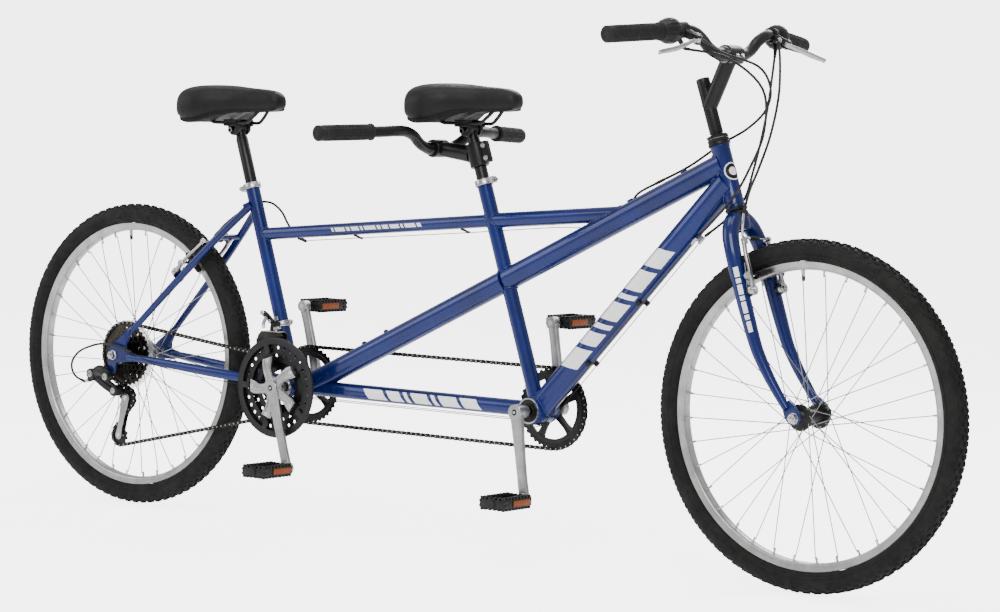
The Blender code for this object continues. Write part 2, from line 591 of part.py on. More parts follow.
def pulleys():
    radius = pitch_radius(PULLEY_TEETH) - RING_CLEARANCE
    for name, centre in (("guide_pulley", GUIDE_PULLEY), ("tension_pulley", TENSION_PULLEY)):
        profile = [(radius, 0.0012), (radius, -0.0012), (0.008, -0.0035), (0.003, -0.0035), (0.003, 0.0035),
                   (0.008, 0.0035)]
        part(name, "black_plastic", lathe(profile, centre, Y_AXIS, 14), origin=centre)


def rear_derailleur():
    """The body under the hanger, the parallelogram and the cage that holds both pulleys."""
    inner_y, outer_y, thick = SPROCKET_Y + 0.0055, SPROCKET_Y - 0.0055, 0.0015
    knuckle_top = side(-0.0070, 0.2820, -0.0800)
    knuckle_rear = side(-0.0560, 0.2850, -0.0760)
    cage_pivot = side(-0.0040, 0.2480, -0.0520)
    pieces = [rod(knuckle_top + Y_AXIS * 0.0062, knuckle_top - Y_AXIS * 0.0120, 0.0100, sides=12),
              sweep([knuckle_top, knuckle_rear + Vector((0.01, 0, 0.004)), knuckle_rear],
                    [0.0080, 0.0100, 0.0100], 8),
              sweep([knuckle_rear, side(-0.0250, 0.2640, -0.0640), cage_pivot], [0.0110, 0.0100, 0.0110], 8),
              rod(cage_pivot, side(-0.0040, 0.2480, outer_y - 0.0002), 0.0100, sides=12)]
    for y in (inner_y, outer_y):
        ends = [Vector((p.x, y, p.z)) for p in (GUIDE_PULLEY, TENSION_PULLEY)]
        up = (ends[0] - ends[1]).normalized()
        middle = (ends[0] + ends[1]) / 2
        pieces.append(block(middle, ((ends[0] - ends[1]).length + 0.022, thick, 0.016), up))
    for centre in (GUIDE_PULLEY, TENSION_PULLEY):
        pieces.append(rod(centre - Y_AXIS * 0.0060, centre + Y_AXIS * 0.0060, 0.0025, sides=10))
    pieces.append(block(side(-0.0040, 0.2480, outer_y), (0.016, thick, 0.020)))
    part("rear_derailleur", "black_paint", pieces[0], pieces[1:])


def front_derailleur():
    """The band round the rear seat tube, the link and the cage over the chainrings."""
    band_centre = REAR_BB + REAR_SEAT_UP * 0.133
    ring = lathe([(SEAT_R + 0.003, -0.006), (SEAT_R + 0.003, 0.006), (SEAT_R + GAP, 0.006),
                  (SEAT_R + GAP, -0.006)],
                 band_centre, REAR_SEAT_UP, 20)
    link = block(side(0.4270, 0.4180, -0.0260), (0.016, 0.026, 0.022))
    plates = [prism([(0.400, 0.368), (0.400, 0.420), (0.475, 0.420), (0.475, 0.400), (0.440, 0.372)],
                    -0.0380, -0.0368),
              prism([(0.415, 0.396), (0.408, 0.420), (0.475, 0.420), (0.475, 0.400)], -0.0538, -0.0526)]
    bridge = block(side(0.4440, 0.4195, -0.0453), (0.056, 0.0170, 0.002))
    cut = clear_of(REAR_BB, REAR_SEAT_TOP, SEAT_R)
    part("front_derailleur", "polished_alloy", ring, [link] + plates + [bridge], [cut], solver="MANIFOLD")


def pedals():
    for end, centre, angle in (("rear", REAR_BB, REAR_CRANK_ANGLE), ("front", FRONT_BB, FRONT_CRANK_ANGLE)):
        for name, hand, turn in (("right", RIGHT, 0.0), ("left", LEFT, math.pi)):
            eye = arm_point(centre, angle + turn, CRANK_LENGTH, 0.0)
            low, high = sorted((0.0960 * hand, 0.1880 * hand))
            half_length, half_height = 0.031, 0.0130
            edge = half_height * 0.5
            outline = [(-half_length, -edge), (-half_length, edge), (-half_length + 0.006, half_height),
                       (half_length - 0.006, half_height), (half_length, edge), (half_length, -edge),
                       (half_length - 0.006, -half_height), (-half_length + 0.006, -half_height)]
            x, z = eye.x + WHEELBASE / 2, eye.z
            body = prism([(x + dx, z + dz) for dx, dz in outline], low, high)
            bore = rod(eye + Y_AXIS * 0.0900 * hand, eye + Y_AXIS * 0.1830 * hand, 0.0051, sides=10)
            windows = [block(eye + Vector((dx, 0.1420 * hand, 0)), (0.011, 0.070, 0.040))
                       for dx in (-0.0145, 0.0145)]
            part(f"{end}_{name}_pedal", "black_plastic", body, [], [bore] + windows, origin=eye)


# ---------------------------------------------------------------- steering
def fork():
    """The steerer, the crown, both curved legs, the dropouts and the brake bosses."""
    top = HEAD_TOP + HEAD_UP * 0.0180
    steerer = rod(HEAD_BOTTOM - HEAD_UP * 0.028, top, STEERER_R, sides=16)
    race = rod(HEAD_BOTTOM - HEAD_UP * 0.0200, HEAD_BOTTOM - HEAD_UP * (0.0070 + RUN), 0.0210, sides=16)
    pieces = [race]
    for hand in (RIGHT, LEFT):
        path = [side(1.5600, 0.6880, 0.0080 * hand), side(1.5640, 0.6780, 0.0270 * hand),
                side(1.5730, 0.6540, 0.0440 * hand), side(1.5860, 0.6180, 0.0520 * hand),
                side(1.6200, 0.5150, 0.0540 * hand), side(1.6400, 0.4600, 0.0545 * hand),
                side(1.6700, 0.4050, 0.0550 * hand), side(1.7130, 0.3450, 0.0550 * hand)]
        pieces.append(sweep(path, [0.0150, 0.0155, 0.0150, 0.0145, 0.0130, 0.0115, 0.0100, 0.0075], 8))
        faces = sorted((0.0500 * hand, 0.0560 * hand))
        pieces.append(prism([(1.700, 0.352), (1.708, 0.330), (1.722, 0.316), (1.738, 0.320), (1.741, 0.334),
                             (1.730, 0.346), (1.716, 0.362)], *faces))
        foot = FORK_BOSS + Y_AXIS * 0.0510 * hand
        pieces.append(rod(foot, foot + HEAD_FORWARD * 0.030, 0.0050, sides=10))
    bore = rod(HEAD_BOTTOM, top + HEAD_UP * 0.01, STEERER_BORE, sides=16)
    axle = rod(FRONT_AXLE - Y_AXIS * 0.07, FRONT_AXLE + Y_AXIS * 0.07, AXLE_R + RUN, sides=16)
    part("fork", "blue_paint", steerer, pieces, [bore, axle], origin=HEAD_BOTTOM)


FORK_BOSS = side(1.6080, 0.5520)


def stem():
    """The quill in the steerer, the neck and the clamp round the bar."""
    quill_top = HEAD_TOP + HEAD_UP * 0.1330
    clamp = side(*CAPTAIN_BAR[0][::2])
    neck_foot = quill_top - HEAD_UP * 0.052
    neck = rod(neck_foot, clamp, 0.0150, 0.0150, sides=12)
    body = rod(clamp - Y_AXIS * 0.022, clamp + Y_AXIS * 0.022, 0.0185, sides=16)
    upper = rod(HEAD_TOP + HEAD_UP * 0.0230, quill_top, 0.0130, sides=16)
    bore = rod(clamp - Y_AXIS * 0.03, clamp + Y_AXIS * 0.03, CLAMP_FIT, sides=16)
    quill = rod(HEAD_TOP - HEAD_UP * 0.060, quill_top, QUILL_R, sides=16)
    part("stem", "black_paint", quill, [upper, neck, body], [bore], solver="MANIFOLD")


def bar(points, thick_to):
    """A bar bent the same way on both sides, thicker where the stem clamps it."""
    left = mirrored(points, LEFT)
    right = list(reversed(mirrored(points[1:], RIGHT)))
    path = right + left
    radii = [BAR_R + 0.0018 if abs(p.y) < thick_to else BAR_R for p in path]
    return sweep(path, radii, 10)


def grip_line(points, hand):
    """Where the straight end of a bar starts, and its direction outwards."""
    inner, outer = mirrored(points[-2:], hand)
    return inner, (outer - inner).normalized()


def on_bar(points, hand, reach_y):
    """The point of the straight bar end at a distance from the centre plane."""
    inner, outwards = grip_line(points, hand)
    return inner + outwards * (reach_y - abs(inner.y)) / abs(outwards.y)


def sleeve(points, hand, low, high, rings, radius_in=BAR_FIT, steps=12):
    """A piece slid on a bar end: rings are (radius, fraction of its length)."""
    start, end = on_bar(points, hand, low), on_bar(points, hand, high)
    axis = (end - start).normalized()
    length = (end - start).length
    profile = [(r, f * length) for r, f in rings] + [(radius_in, length), (radius_in, 0.0)]
    return lathe(profile, start, axis, steps)


LEVER_Y, SHIFTER_INNER_Y, SHIFTER_OUTER_Y = 0.1520, 0.1660, 0.2050


def handlebar():
    """The captain's bar with both brake lever brackets on it."""
    pieces = []
    for hand in (RIGHT, LEFT):
        seat = on_bar(CAPTAIN_BAR, hand, LEVER_Y)
        outwards = grip_line(CAPTAIN_BAR, hand)[1]
        pieces.append(rod(seat - outwards * 0.010, seat + outwards * 0.010, 0.0150, sides=12))
        normal = lever_axis(hand)
        neck = seat + LEVER_REACH * 0.0180
        pieces.append(block(neck, (0.028, 0.016, 0.016), LEVER_REACH, outwards_square(hand)))
        for offset in (-0.0068, 0.0068):
            cheek = lever_pivot(hand) + normal * offset
            pieces.append(block(cheek - LEVER_REACH * 0.006, (0.024, 0.014, 0.0024), LEVER_REACH,
                                outwards_square(hand)))
    part("handlebar", "black_paint", bar(CAPTAIN_BAR, 0.045), pieces)


def outwards_square(hand):
    """The direction along the bar end, made square to the lever's reach."""
    outwards = grip_line(CAPTAIN_BAR, hand)[1]
    return (outwards - LEVER_REACH * outwards.dot(LEVER_REACH)).normalized()


def lever_axis(hand):
    """The hinge direction that closes a lever on its grip when it turns the positive way."""
    return LEVER_REACH.cross(outwards_square(hand))


def lever_pivot(hand):
    return on_bar(CAPTAIN_BAR, hand, LEVER_Y) + LEVER_REACH * 0.0390


def brake_levers():
    for name, hand in (("right", RIGHT), ("left", LEFT)):
        pivot = lever_pivot(hand)
        axis = lever_axis(hand)
        path = [pivot] + [on_bar(CAPTAIN_BAR, hand, y) + LEVER_REACH * reach
                          for y, reach in ((0.172, 0.046), (0.205, 0.060), (0.245, 0.072), (0.280, 0.078))]
        blade = sweep(path, [0.0048, 0.0050, 0.0050, 0.0048, 0.0045], 8)
        hub = rod(pivot - axis * 0.0050, pivot + axis * 0.0050, 0.0065, sides=12)
        part(f"{name}_brake_lever", "polished_alloy", hub, [blade], origin=pivot)


def grips_and_shifters():
    for name, hand in (("right", RIGHT), ("left", LEFT)):
        rings = [(0.0170, 0.0), (0.0225, 0.25), (0.0230, 0.55), (0.0170, 1.0)]
        shifter = sleeve(CAPTAIN_BAR, hand, SHIFTER_INNER_Y, SHIFTER_OUTER_Y, rings)
        part(f"{name}_twist_shifter", "black_plastic", shifter, origin=on_bar(CAPTAIN_BAR, hand, 0.185))
        for prefix, points, start in (("captain", CAPTAIN_BAR, 0.2060), ("stoker", STOKER_BAR, 0.2000)):
            end = abs(points[-1][1]) + 0.006
            inside = sleeve(points, hand, start, end - 0.0017,
                            [(GRIP_R + 0.0012, 0.0), (GRIP_R + 0.0012, 0.03),
                                                                (GRIP_R, 0.05), (GRIP_R, 1.0)])
            cap_start = on_bar(points, hand, end - 0.0017)
            outwards = grip_line(points, hand)[1]
            cap = rod(cap_start - outwards * 0.0004, cap_start + outwards * 0.0020, GRIP_R - 0.0005, sides=12)
            part(f"{prefix}_{name}_grip", "grip_rubber", inside, [cap])


# ---------------------------------------------------------------- brakes
def brake_arm(name, pivot_line, up, outwards, hand, origin_shift):
    """A lever arm on its boss with the brake pad and the cable clamp at its top."""
    pivot = pivot_line + outwards * origin_shift
    inwards = -Y_AXIS * hand
    lower = pivot - up * 0.004
    top = pivot + up * 0.098 + inwards * 0.012
    middle = pivot + up * 0.045 + inwards * 0.002
    arm = sweep([lower, middle, top], [0.0085, 0.0062, 0.0050], 8)
    pad_centre = pivot + up * BRAKE_PAD_UP
    pad_centre = Vector((pad_centre.x, (RIM_HALF_WIDTH + 0.0025 + 0.005) * hand, pad_centre.z))
    stud = rod(pad_centre + Y_AXIS * 0.002 * hand, Vector((pad_centre.x, pivot.y, pad_centre.z)), 0.0032,
               sides=8)
    pad = block(pad_centre, (0.052, 0.010, 0.009), outwards)
    bore = rod(pivot_line - outwards * 0.01, pivot_line + outwards * 0.05, 0.0050 + RUN, sides=10)
    part(name, "polished_alloy", arm, [stud, pad], [bore], origin=pivot)


def brakes():
    for name, hand in (("right", RIGHT), ("left", LEFT)):
        front = FORK_BOSS + Y_AXIS * 0.0510 * hand
        brake_arm(f"front_{name}_brake_arm", front, HEAD_UP, HEAD_FORWARD, hand, 0.0235)
        rear = side(0.176, 0.507, 0.0515 * hand)
        brake_arm(f"rear_{name}_brake_arm", rear, STAY_UP, STAY_OUT, hand, 0.0170)


# ---------------------------------------------------------------- seats and the stoker's bar
def seatposts():
    for name, top, up, rise in (("front", FRONT_SEAT_TOP, FRONT_SEAT_UP, FRONT_POST_TOP),
                                ("rear", REAR_SEAT_TOP, REAR_SEAT_UP, REAR_POST_TOP)):
        head = top + up * rise
        post = rod(head - up * POST_LENGTH, head, POST_R, sides=20)
        clamp = block(head + up * 0.006, (0.044, 0.034, 0.020))
        part(f"{name}_seatpost", "black_paint", post, [clamp], origin=top)


SADDLE_SECTIONS = [  # distance ahead of the tail, half width, underside and crown above the rail line
    (0.000, 0.050, 0.026, 0.060), (0.020, 0.086, 0.008, 0.074), (0.070, 0.095, 0.006, 0.079),
    (0.115, 0.070, 0.018, 0.077), (0.155, 0.040, 0.024, 0.073), (0.210, 0.028, 0.026, 0.072),
    (0.250, 0.018, 0.034, 0.058)]


def saddle(name, rail_centre):
    """The padded top as one loft, with two wire rails under it."""
    tail_x = rail_centre.x - 0.125
    rings = []
    for ahead, half, low, high in SADDLE_SECTIONS:
        middle, rise = (low + high) / 2, (high - low) / 2
        ring = []
        for k in range(12):
            angle = 2 * math.pi * k / 12
            c, s = math.cos(angle), math.sin(angle)
            across_y = math.copysign(abs(c) ** 0.6, c) * half
            height = math.copysign(abs(s) ** (0.8 if s > 0 else 0.5), s) * rise
            ring.append(Vector((tail_x + ahead, across_y, rail_centre.z + middle + height)))
        rings.append(ring)
    pad = to_object(skin(rings, False))
    rails = []
    for hand in (RIGHT, LEFT):
        path = [rail_centre + Vector((dx, y * hand, dz))
                for dx, y, dz in ((-0.070, 0.034, 0.024), (-0.045, 0.026, 0.0), (0.035, 0.0215, 0.0),
                                  (0.085, 0.010, 0.038))]
        rails.append(sweep(path, 0.0035, 8))
    part(name, "saddle_skin", pad, rails)


def saddles():
    saddle("front_saddle", FRONT_SEAT_TOP + FRONT_SEAT_UP * (FRONT_POST_TOP + 0.006))
    saddle("rear_saddle", REAR_SEAT_TOP + REAR_SEAT_UP * (REAR_POST_TOP + 0.006))


def stoker_steering():
    """The stem clamped round the captain's seatpost and the fixed bar behind it."""
    clamp = FRONT_SEAT_TOP + FRONT_SEAT_UP * 0.052
    bar_centre = side(*STOKER_BAR[0][::2])
    collar = rod(clamp - FRONT_SEAT_UP * 0.024, clamp + FRONT_SEAT_UP * 0.024, 0.0190, sides=16)
    neck = rod(clamp, bar_centre, 0.0145, 0.0130, sides=12)
    body = rod(bar_centre - Y_AXIS * 0.020, bar_centre + Y_AXIS * 0.020, 0.0180, sides=16)
    bores = [rod(clamp - FRONT_SEAT_UP * 0.05, clamp + FRONT_SEAT_UP * 0.05, POST_R + GAP, sides=20),
             rod(bar_centre - Y_AXIS * 0.03, bar_centre + Y_AXIS * 0.03, CLAMP_FIT, sides=16)]
    part("stoker_stem", "black_paint", collar, [neck, body], bores)
    part("stoker_handlebar", "black_paint", bar(STOKER_BAR, 0.040))


# ---------------------------------------------------------------- cables
def smooth_route(points, pieces=2):
    """A smooth curve through the route's own points."""
    out = []
    padded = [points[0] * 2 - points[1]] + points + [points[-1] * 2 - points[-2]]
    for a, b, c, d in zip(padded, padded[1:], padded[2:], padded[3:]):
        for k in range(pieces):
            t = k / pieces
            out.append(b + (c - a) * t / 2 + (a - 2.5 * b + 2 * c - d / 2) * t ** 2
                       + (3 * b - a - 3 * c + d) * t ** 3 / 2)
    return out + [points[-1]]


CABLE_R = 0.0024
CABLE_ROUTES = {  # (x, y, z) in side-view coordinates, from the control to what it works
    "rear_brake_cable": [(1.532, -0.128, 1.010), (1.552, -0.055, 0.995), (1.582, 0.020, 0.972),
                         (1.594, 0.045, 0.932), (1.584, 0.045, 0.890), (1.550, 0.036, 0.855),
                         (1.500, 0.028, 0.826), (1.440, 0.010, 0.782), (1.380, 0.000, 0.751)],
    "front_brake_cable": [(1.552, 0.128, 1.010), (1.585, 0.090, 0.975), (1.612, 0.045, 0.915),
                          (1.618, 0.012, 0.845), (1.608, -0.008, 0.785), (1.592, -0.035, 0.735),
                          (1.584, -0.050, 0.697)],
    "front_shift_cable": [(1.535, 0.150, 1.000), (1.556, 0.110, 0.960), (1.580, 0.060, 0.900),
                          (1.586, 0.030, 0.835), (1.570, 0.030, 0.775), (1.548, 0.036, 0.722),
                          (1.512, 0.028, 0.682), (1.479, 0.012, 0.6510)],
    "rear_shift_cable": [(1.530, -0.150, 1.000), (1.572, -0.070, 0.985), (1.618, -0.020, 0.930),
                         (1.630, -0.030, 0.850), (1.606, -0.040, 0.780), (1.568, -0.032, 0.728),
                         (1.520, -0.025, 0.682), (1.479, -0.012, 0.6510)],
}
UNDER_TUBES = [(1.460, 0.012, 0.6309), (1.1943, 0.012, 0.3454), (1.1637, 0.012, 0.3125),
               (1.133, 0.012, 0.2735), (1.1185, 0.012, 0.2622), (1.105, 0.012, 0.2590),
               (1.080, 0.012, 0.2620),
               (1.055, 0.012, 0.2700), (0.500, 0.012, 0.2700)]
CABLE_RUNS = {  # the rest of each cable, along the frame
    "rear_brake_cable": [(1.330, 0.000, 0.7265), (1.300, 0.020, 0.7002), (1.270, 0.0295, 0.6657),
                         (1.235, 0.0275, 0.6550), (1.200, 0.024, 0.6550), (1.116, 0.020, 0.6520),
                         (0.902, 0.020, 0.6325), (0.467, 0.020, 0.5970), (0.440, 0.020, 0.6080),
                         (0.416, 0.022, 0.6305), (0.395, 0.025, 0.6550), (0.365, 0.027, 0.6720),
                         (0.330, 0.026, 0.6720), (0.285, 0.022, 0.6520), (0.255, 0.008, 0.6270),
                         (0.238, -0.012, 0.5980)],
    "rear_shift_cable": [(x, -y, z) for x, y, z in UNDER_TUBES] + [
        (0.466, -0.013, 0.2655), (0.445, -0.016, 0.2720), (0.430, -0.020, 0.2800), (0.390, -0.029, 0.2860),
        (0.300, -0.043, 0.2920),
        (0.215, -0.056, 0.2990), (0.130, -0.0720, 0.3150), (0.060, -0.0800, 0.3400), (0.020, -0.0840, 0.3500),
        (-0.020, -0.0870, 0.3530), (-0.055, -0.0900, 0.3450), (-0.085, -0.0920, 0.3320),
        (-0.105, -0.0920, 0.3120), (-0.108, -0.0910, 0.2930), (-0.098, -0.0880, 0.2760),
        (-0.076, -0.0820, 0.2660)],
    "front_shift_cable": UNDER_TUBES + [(0.466, 0.008, 0.2660), (0.440, 0.005, 0.2720),
                                        (0.4310, 0.004, 0.2960), (0.424, 0.002, 0.3500),
                                        (0.412, 0.000, 0.3960)],
}


def cables():
    for name, route in CABLE_ROUTES.items():
        path = smooth_route([side(x, z, y) for x, y, z in route])
        path += [side(x, z, y) for x, y, z in CABLE_RUNS.get(name, [])]
        part(name, "cable_housing", sweep(path, CABLE_R, 6))


def build():
    for obj in list(bpy.data.objects):
        bpy.data.objects.remove(obj, do_unlink=True)
    head_tube()
    lateral_tubes()
    down_tube()
    seat_tubes()
    bottom_bracket_boom()
    seat_stays()
    chain_stays()
    seat_collars()
    wheel("front", FRONT_AXLE, front_hub)
    wheel("rear", REAR_AXLE, rear_hub)
    axles()
    freewheel()
    cranks()
    drive_chainrings()
    chains()
    pulleys()
    rear_derailleur()
    front_derailleur()
    pedals()
    fork()
    stem()
    handlebar()
    brake_levers()
    grips_and_shifters()
    brakes()
    seatposts()
    saddles()
    stoker_steering()
    cables()


build()
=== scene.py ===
"""Looks for the tandem bicycle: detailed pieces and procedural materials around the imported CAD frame.

The CAD's own frame: +X is the direction of travel, -Y the riders' right, +Z up. Pieces are drawn in
millimetres and handed over in metres; the camera, lights, floor and cloth settings are in metres.
"""

import json
from math import asin, atan2, copysign, cos, hypot, pi, radians, sin, sqrt

import bmesh
import bpy
from mathutils import Matrix, Vector


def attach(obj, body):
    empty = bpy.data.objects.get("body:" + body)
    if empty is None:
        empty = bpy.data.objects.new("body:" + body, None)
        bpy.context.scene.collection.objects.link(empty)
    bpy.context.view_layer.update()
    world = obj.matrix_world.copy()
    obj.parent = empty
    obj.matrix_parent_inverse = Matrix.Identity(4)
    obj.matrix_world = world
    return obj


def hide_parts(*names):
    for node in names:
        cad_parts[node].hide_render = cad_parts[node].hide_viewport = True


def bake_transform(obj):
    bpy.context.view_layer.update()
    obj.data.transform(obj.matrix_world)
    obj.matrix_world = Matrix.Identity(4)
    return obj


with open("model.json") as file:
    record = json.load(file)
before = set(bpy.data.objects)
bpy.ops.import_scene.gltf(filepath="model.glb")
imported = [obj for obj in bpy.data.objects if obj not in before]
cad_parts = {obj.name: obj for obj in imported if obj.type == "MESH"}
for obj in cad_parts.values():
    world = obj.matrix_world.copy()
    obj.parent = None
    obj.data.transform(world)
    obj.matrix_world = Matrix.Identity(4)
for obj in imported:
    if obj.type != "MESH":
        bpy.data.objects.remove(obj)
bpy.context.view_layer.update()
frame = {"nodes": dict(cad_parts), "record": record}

X, Y, Z = Vector((1, 0, 0)), Vector((0, 1, 0)), Vector((0, 0, 1))
RIGHT, LEFT = -1, 1
SIDES = (("right", RIGHT), ("left", LEFT))
TAU = 2 * pi
MM = 0.001
WHEELBASE = 1728.5
CRANK = 170


# ---------------------------------------------------------------- geometry helpers
def S(x, z, y=0):
    """A side-view point: x ahead of the rear axle, z above the ground, y from the centre plane."""
    return Vector((x - WHEELBASE / 2, y, z))


def radial(a):
    """The direction at angle a in the side view, from straight ahead towards straight up."""
    return Vector((cos(a), 0, sin(a)))


def ahead_of(up):
    """The direction square to up in the side view, on its forward side."""
    return Vector((up.z, 0, -up.x))


def across(axis):
    """Two directions square to an axis and to each other."""
    first = Y if abs(axis.y) < 0.9 else X
    first = (first - axis * axis.dot(first)).normalized()
    return first, axis.cross(first)


def circle(axis, count):
    """Unit directions evenly round an axis."""
    f, s = across(axis)
    return [f * cos(TAU * k / count) + s * sin(TAU * k / count) for k in range(count)]


def oval(count, across_power, up_power=None):
    """A superellipse as (cosine, sine, across, up) of each of its points."""
    for k in range(count):
        c, s = cos(TAU * k / count), sin(TAU * k / count)
        yield c, s, copysign(abs(c) ** across_power, c), copysign(abs(s) ** (up_power or across_power), s)


def flat(width, height):
    """The corners of a rectangle from its half width and half height."""
    return [(-width, -height), (width, -height), (width, height), (-width, height)]


def smooth(points, pieces=6):
    """A Catmull-Rom curve through the points."""
    out = []
    padded = [points[0] * 2 - points[1]] + list(points) + [points[-1] * 2 - points[-2]]
    for a, b, c, d in zip(padded, padded[1:], padded[2:], padded[3:]):
        for k in range(pieces):
            t = k / pieces
            out.append(b + (c - a) * (t / 2) + (a - b * 2.5 + c * 2 - d * 0.5) * t ** 2
                + (b * 3 - a - c * 3 + d) * (t ** 3 / 2))
    return out + [points[-1]]


def along_at(path, k):
    """The direction of a path at its point k."""
    return (path[min(k + 1, len(path) - 1)] - path[max(k - 1, 0)]).normalized()


def cuff(inner, outer, half, narrow, short):
    """A ring's profile with chamfers narrow wide and short long at both outer edges."""
    rim = [(inner, -half), (outer - narrow, -half), (outer, short - half)]
    return rim + [(r, -d) for r, d in reversed(rim)]


class Piece:
    """Collects closed shells in millimetres, each with a material, into one object in metres."""

    def __init__(self, name, mat=None):
        self.name, self.mat, self.verts, self.faces, self.index, self.mats = name, mat, [], [], [], []

    def add(self, bm, mat=None):
        mat = mat or self.mat
        if mat not in self.mats:
            self.mats.append(mat)
        bmesh.ops.recalc_face_normals(bm, faces=bm.faces)
        base = len(self.verts)
        bm.verts.index_update()
        self.verts += [v.co * MM for v in bm.verts]
        self.faces += [[base + v.index for v in f.verts] for f in bm.faces]
        self.index += [self.mats.index(mat)] * len(bm.faces)
        bm.free()

    def rings(self, rings, closed=False, bevel=0, mat=None):
        """A skin over rings of equal count, capped at its two ends or closed on itself."""
        bm = bmesh.new()
        rows = [[bm.verts.new(p) for p in ring] for ring in rings]
        n = len(rows[0])
        for low, high in zip(rows, rows[1:] + rows[:1]) if closed else zip(rows, rows[1:]):
            for i in range(n):
                bm.faces.new((low[i], low[(i + 1) % n], high[(i + 1) % n], high[i]))
        if not closed:
            bm.faces.new(rows[0])
            bm.faces.new(rows[-1])
        if bevel:
            bmesh.ops.bevel(bm, geom=bm.edges, offset=bevel, segments=2, affect="EDGES", profile=0.6)
        self.add(bm, mat)

    def rod(self, a, b, r, sides=24, r2=None, ends=0, mat=None):
        """A round bar, tapering to r2 at b, its edges rounded over ends."""
        axis = (b - a).normalized()
        r2 = r if r2 is None else r2
        steps = [(a, r), (b, r2)]
        if ends:
            slight = ends * 0.3
            steps = [(a, r - ends), (a + axis * slight, r - slight), (a + axis * ends, r),
                (b - axis * ends, r2), (b - axis * slight, r2 - slight), (b, r2 - ends)]
        self.rings([[p + t * q for t in circle(axis, sides)] for p, q in steps], mat=mat)

    def pin(self, at, axis, low, high, r, sides=24, r2=None, ends=0, mat=None):
        """A rod between two distances along an axis from a point."""
        self.rod(at + axis * low, at + axis * high, r, sides, r2, ends, mat)

    def sweep(self, points, radii, sides=16, stretch=1, closed=False, section=None, mat=None):
        """A bar along points; section, if given, is a list of (across, up) corners instead of a circle."""
        if not isinstance(radii, (list, tuple)):
            radii = [radii] * len(points)
        rings, first, n = [], None, len(points)
        outline = section or [(cos(TAU * k / sides), stretch * sin(TAU * k / sides)) for k in range(sides)]
        for i, (p, r) in enumerate(zip(points, radii)):
            axis = (points[(i + 1) % n] - points[i - 1]).normalized() if closed else along_at(points, i)
            first = across(axis)[0] if first is None else (first - axis * axis.dot(first)).normalized()
            second = axis.cross(first)
            rings.append([p + (first * u + second * v) * r for u, v in outline])
        self.rings(rings, closed, mat=mat)

    def lathe(self, profile, centre, axis=Y, steps=48, mat=None, hand=1):
        """Turns closed (radius, distance along axis) profiles, mirrored by hand, that never meet the axis."""
        self.rings([[centre + axis * (d * hand) + t * r for r, d in profile] for t in circle(axis, steps)],
            True, mat=mat)

    def box(self, centre, size, fwd=X, side=Y, bevel=0.8, mat=None):
        side = (side - fwd * fwd.dot(side)).normalized()
        up = fwd.cross(side)
        half = Vector(size) / 2
        rings = [[centre + fwd * half.x * f + side * half.y * a + up * half.z * u
            for a, u in flat(1, 1)] for f in (-1, 1)]
        self.rings(rings, bevel=min(bevel, min(size) * 0.3), mat=mat)

    def slab(self, outline, low, high, axis=Y, bevel=0.6, mat=None):
        """An outline of points given thickness from low to high along axis."""
        self.rings([[p + axis * d for p in outline] for d in (low, high)], bevel=bevel, mat=mat)

    def bolt(self, at, axis, r, height=3, hexed=True, mat=None):
        """A bolt head: a washer, and a hexagon or a round socket cap on it."""
        axis = axis.normalized()
        self.pin(at, axis, 0, height * 0.25, r * 1.25, 20, mat=mat)
        if hexed:
            self.pin(at, axis, height * 0.25, height, r, 6, r * 0.96, mat=mat)
        else:
            cap = [(r * 0.45, height), (r * 0.9, height), (r, height * 0.8), (r, 0), (r * 0.45, 0)]
            self.lathe(cap, at, axis, 20, mat=mat)

    def build(self):
        mesh = bpy.data.meshes.new(self.name)
        mesh.from_pydata(self.verts, [], self.faces)
        for m in self.mats:
            mesh.materials.append(MATS[m])
        mesh.polygons.foreach_set("material_index", self.index)
        obj = bpy.data.objects.new(self.name, mesh)
        bpy.context.scene.collection.objects.link(obj)
        return obj

    def make(self, body, node, angle=38):
        """The finished object, smooth but for edges sharper than angle."""
        obj = self.build()
        obj.data.shade_smooth()
        obj.data.set_sharp_from_angle(angle=radians(angle))
        hand_over(obj, body, node)
        return obj


def hand_over(obj, body, node):
    """Makes a piece ride on its body, if it has just one, and stand for its CAD node."""
    if body:
        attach(obj, body)
    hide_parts(node)


def surface_meet(start, along, centre, axis, big):
    """Where the line start + t*along first enters the round tube of radius big about centre and axis."""
    d = along - axis * along.dot(axis)
    w = (start - centre) - axis * (start - centre).dot(axis)
    a, b, c = d.dot(d), 2 * d.dot(w), w.dot(w) - big * big
    disc = b * b - 4 * a * c
    if disc < 0:
        return None
    return start + along * ((-b - sqrt(disc)) / (2 * a))


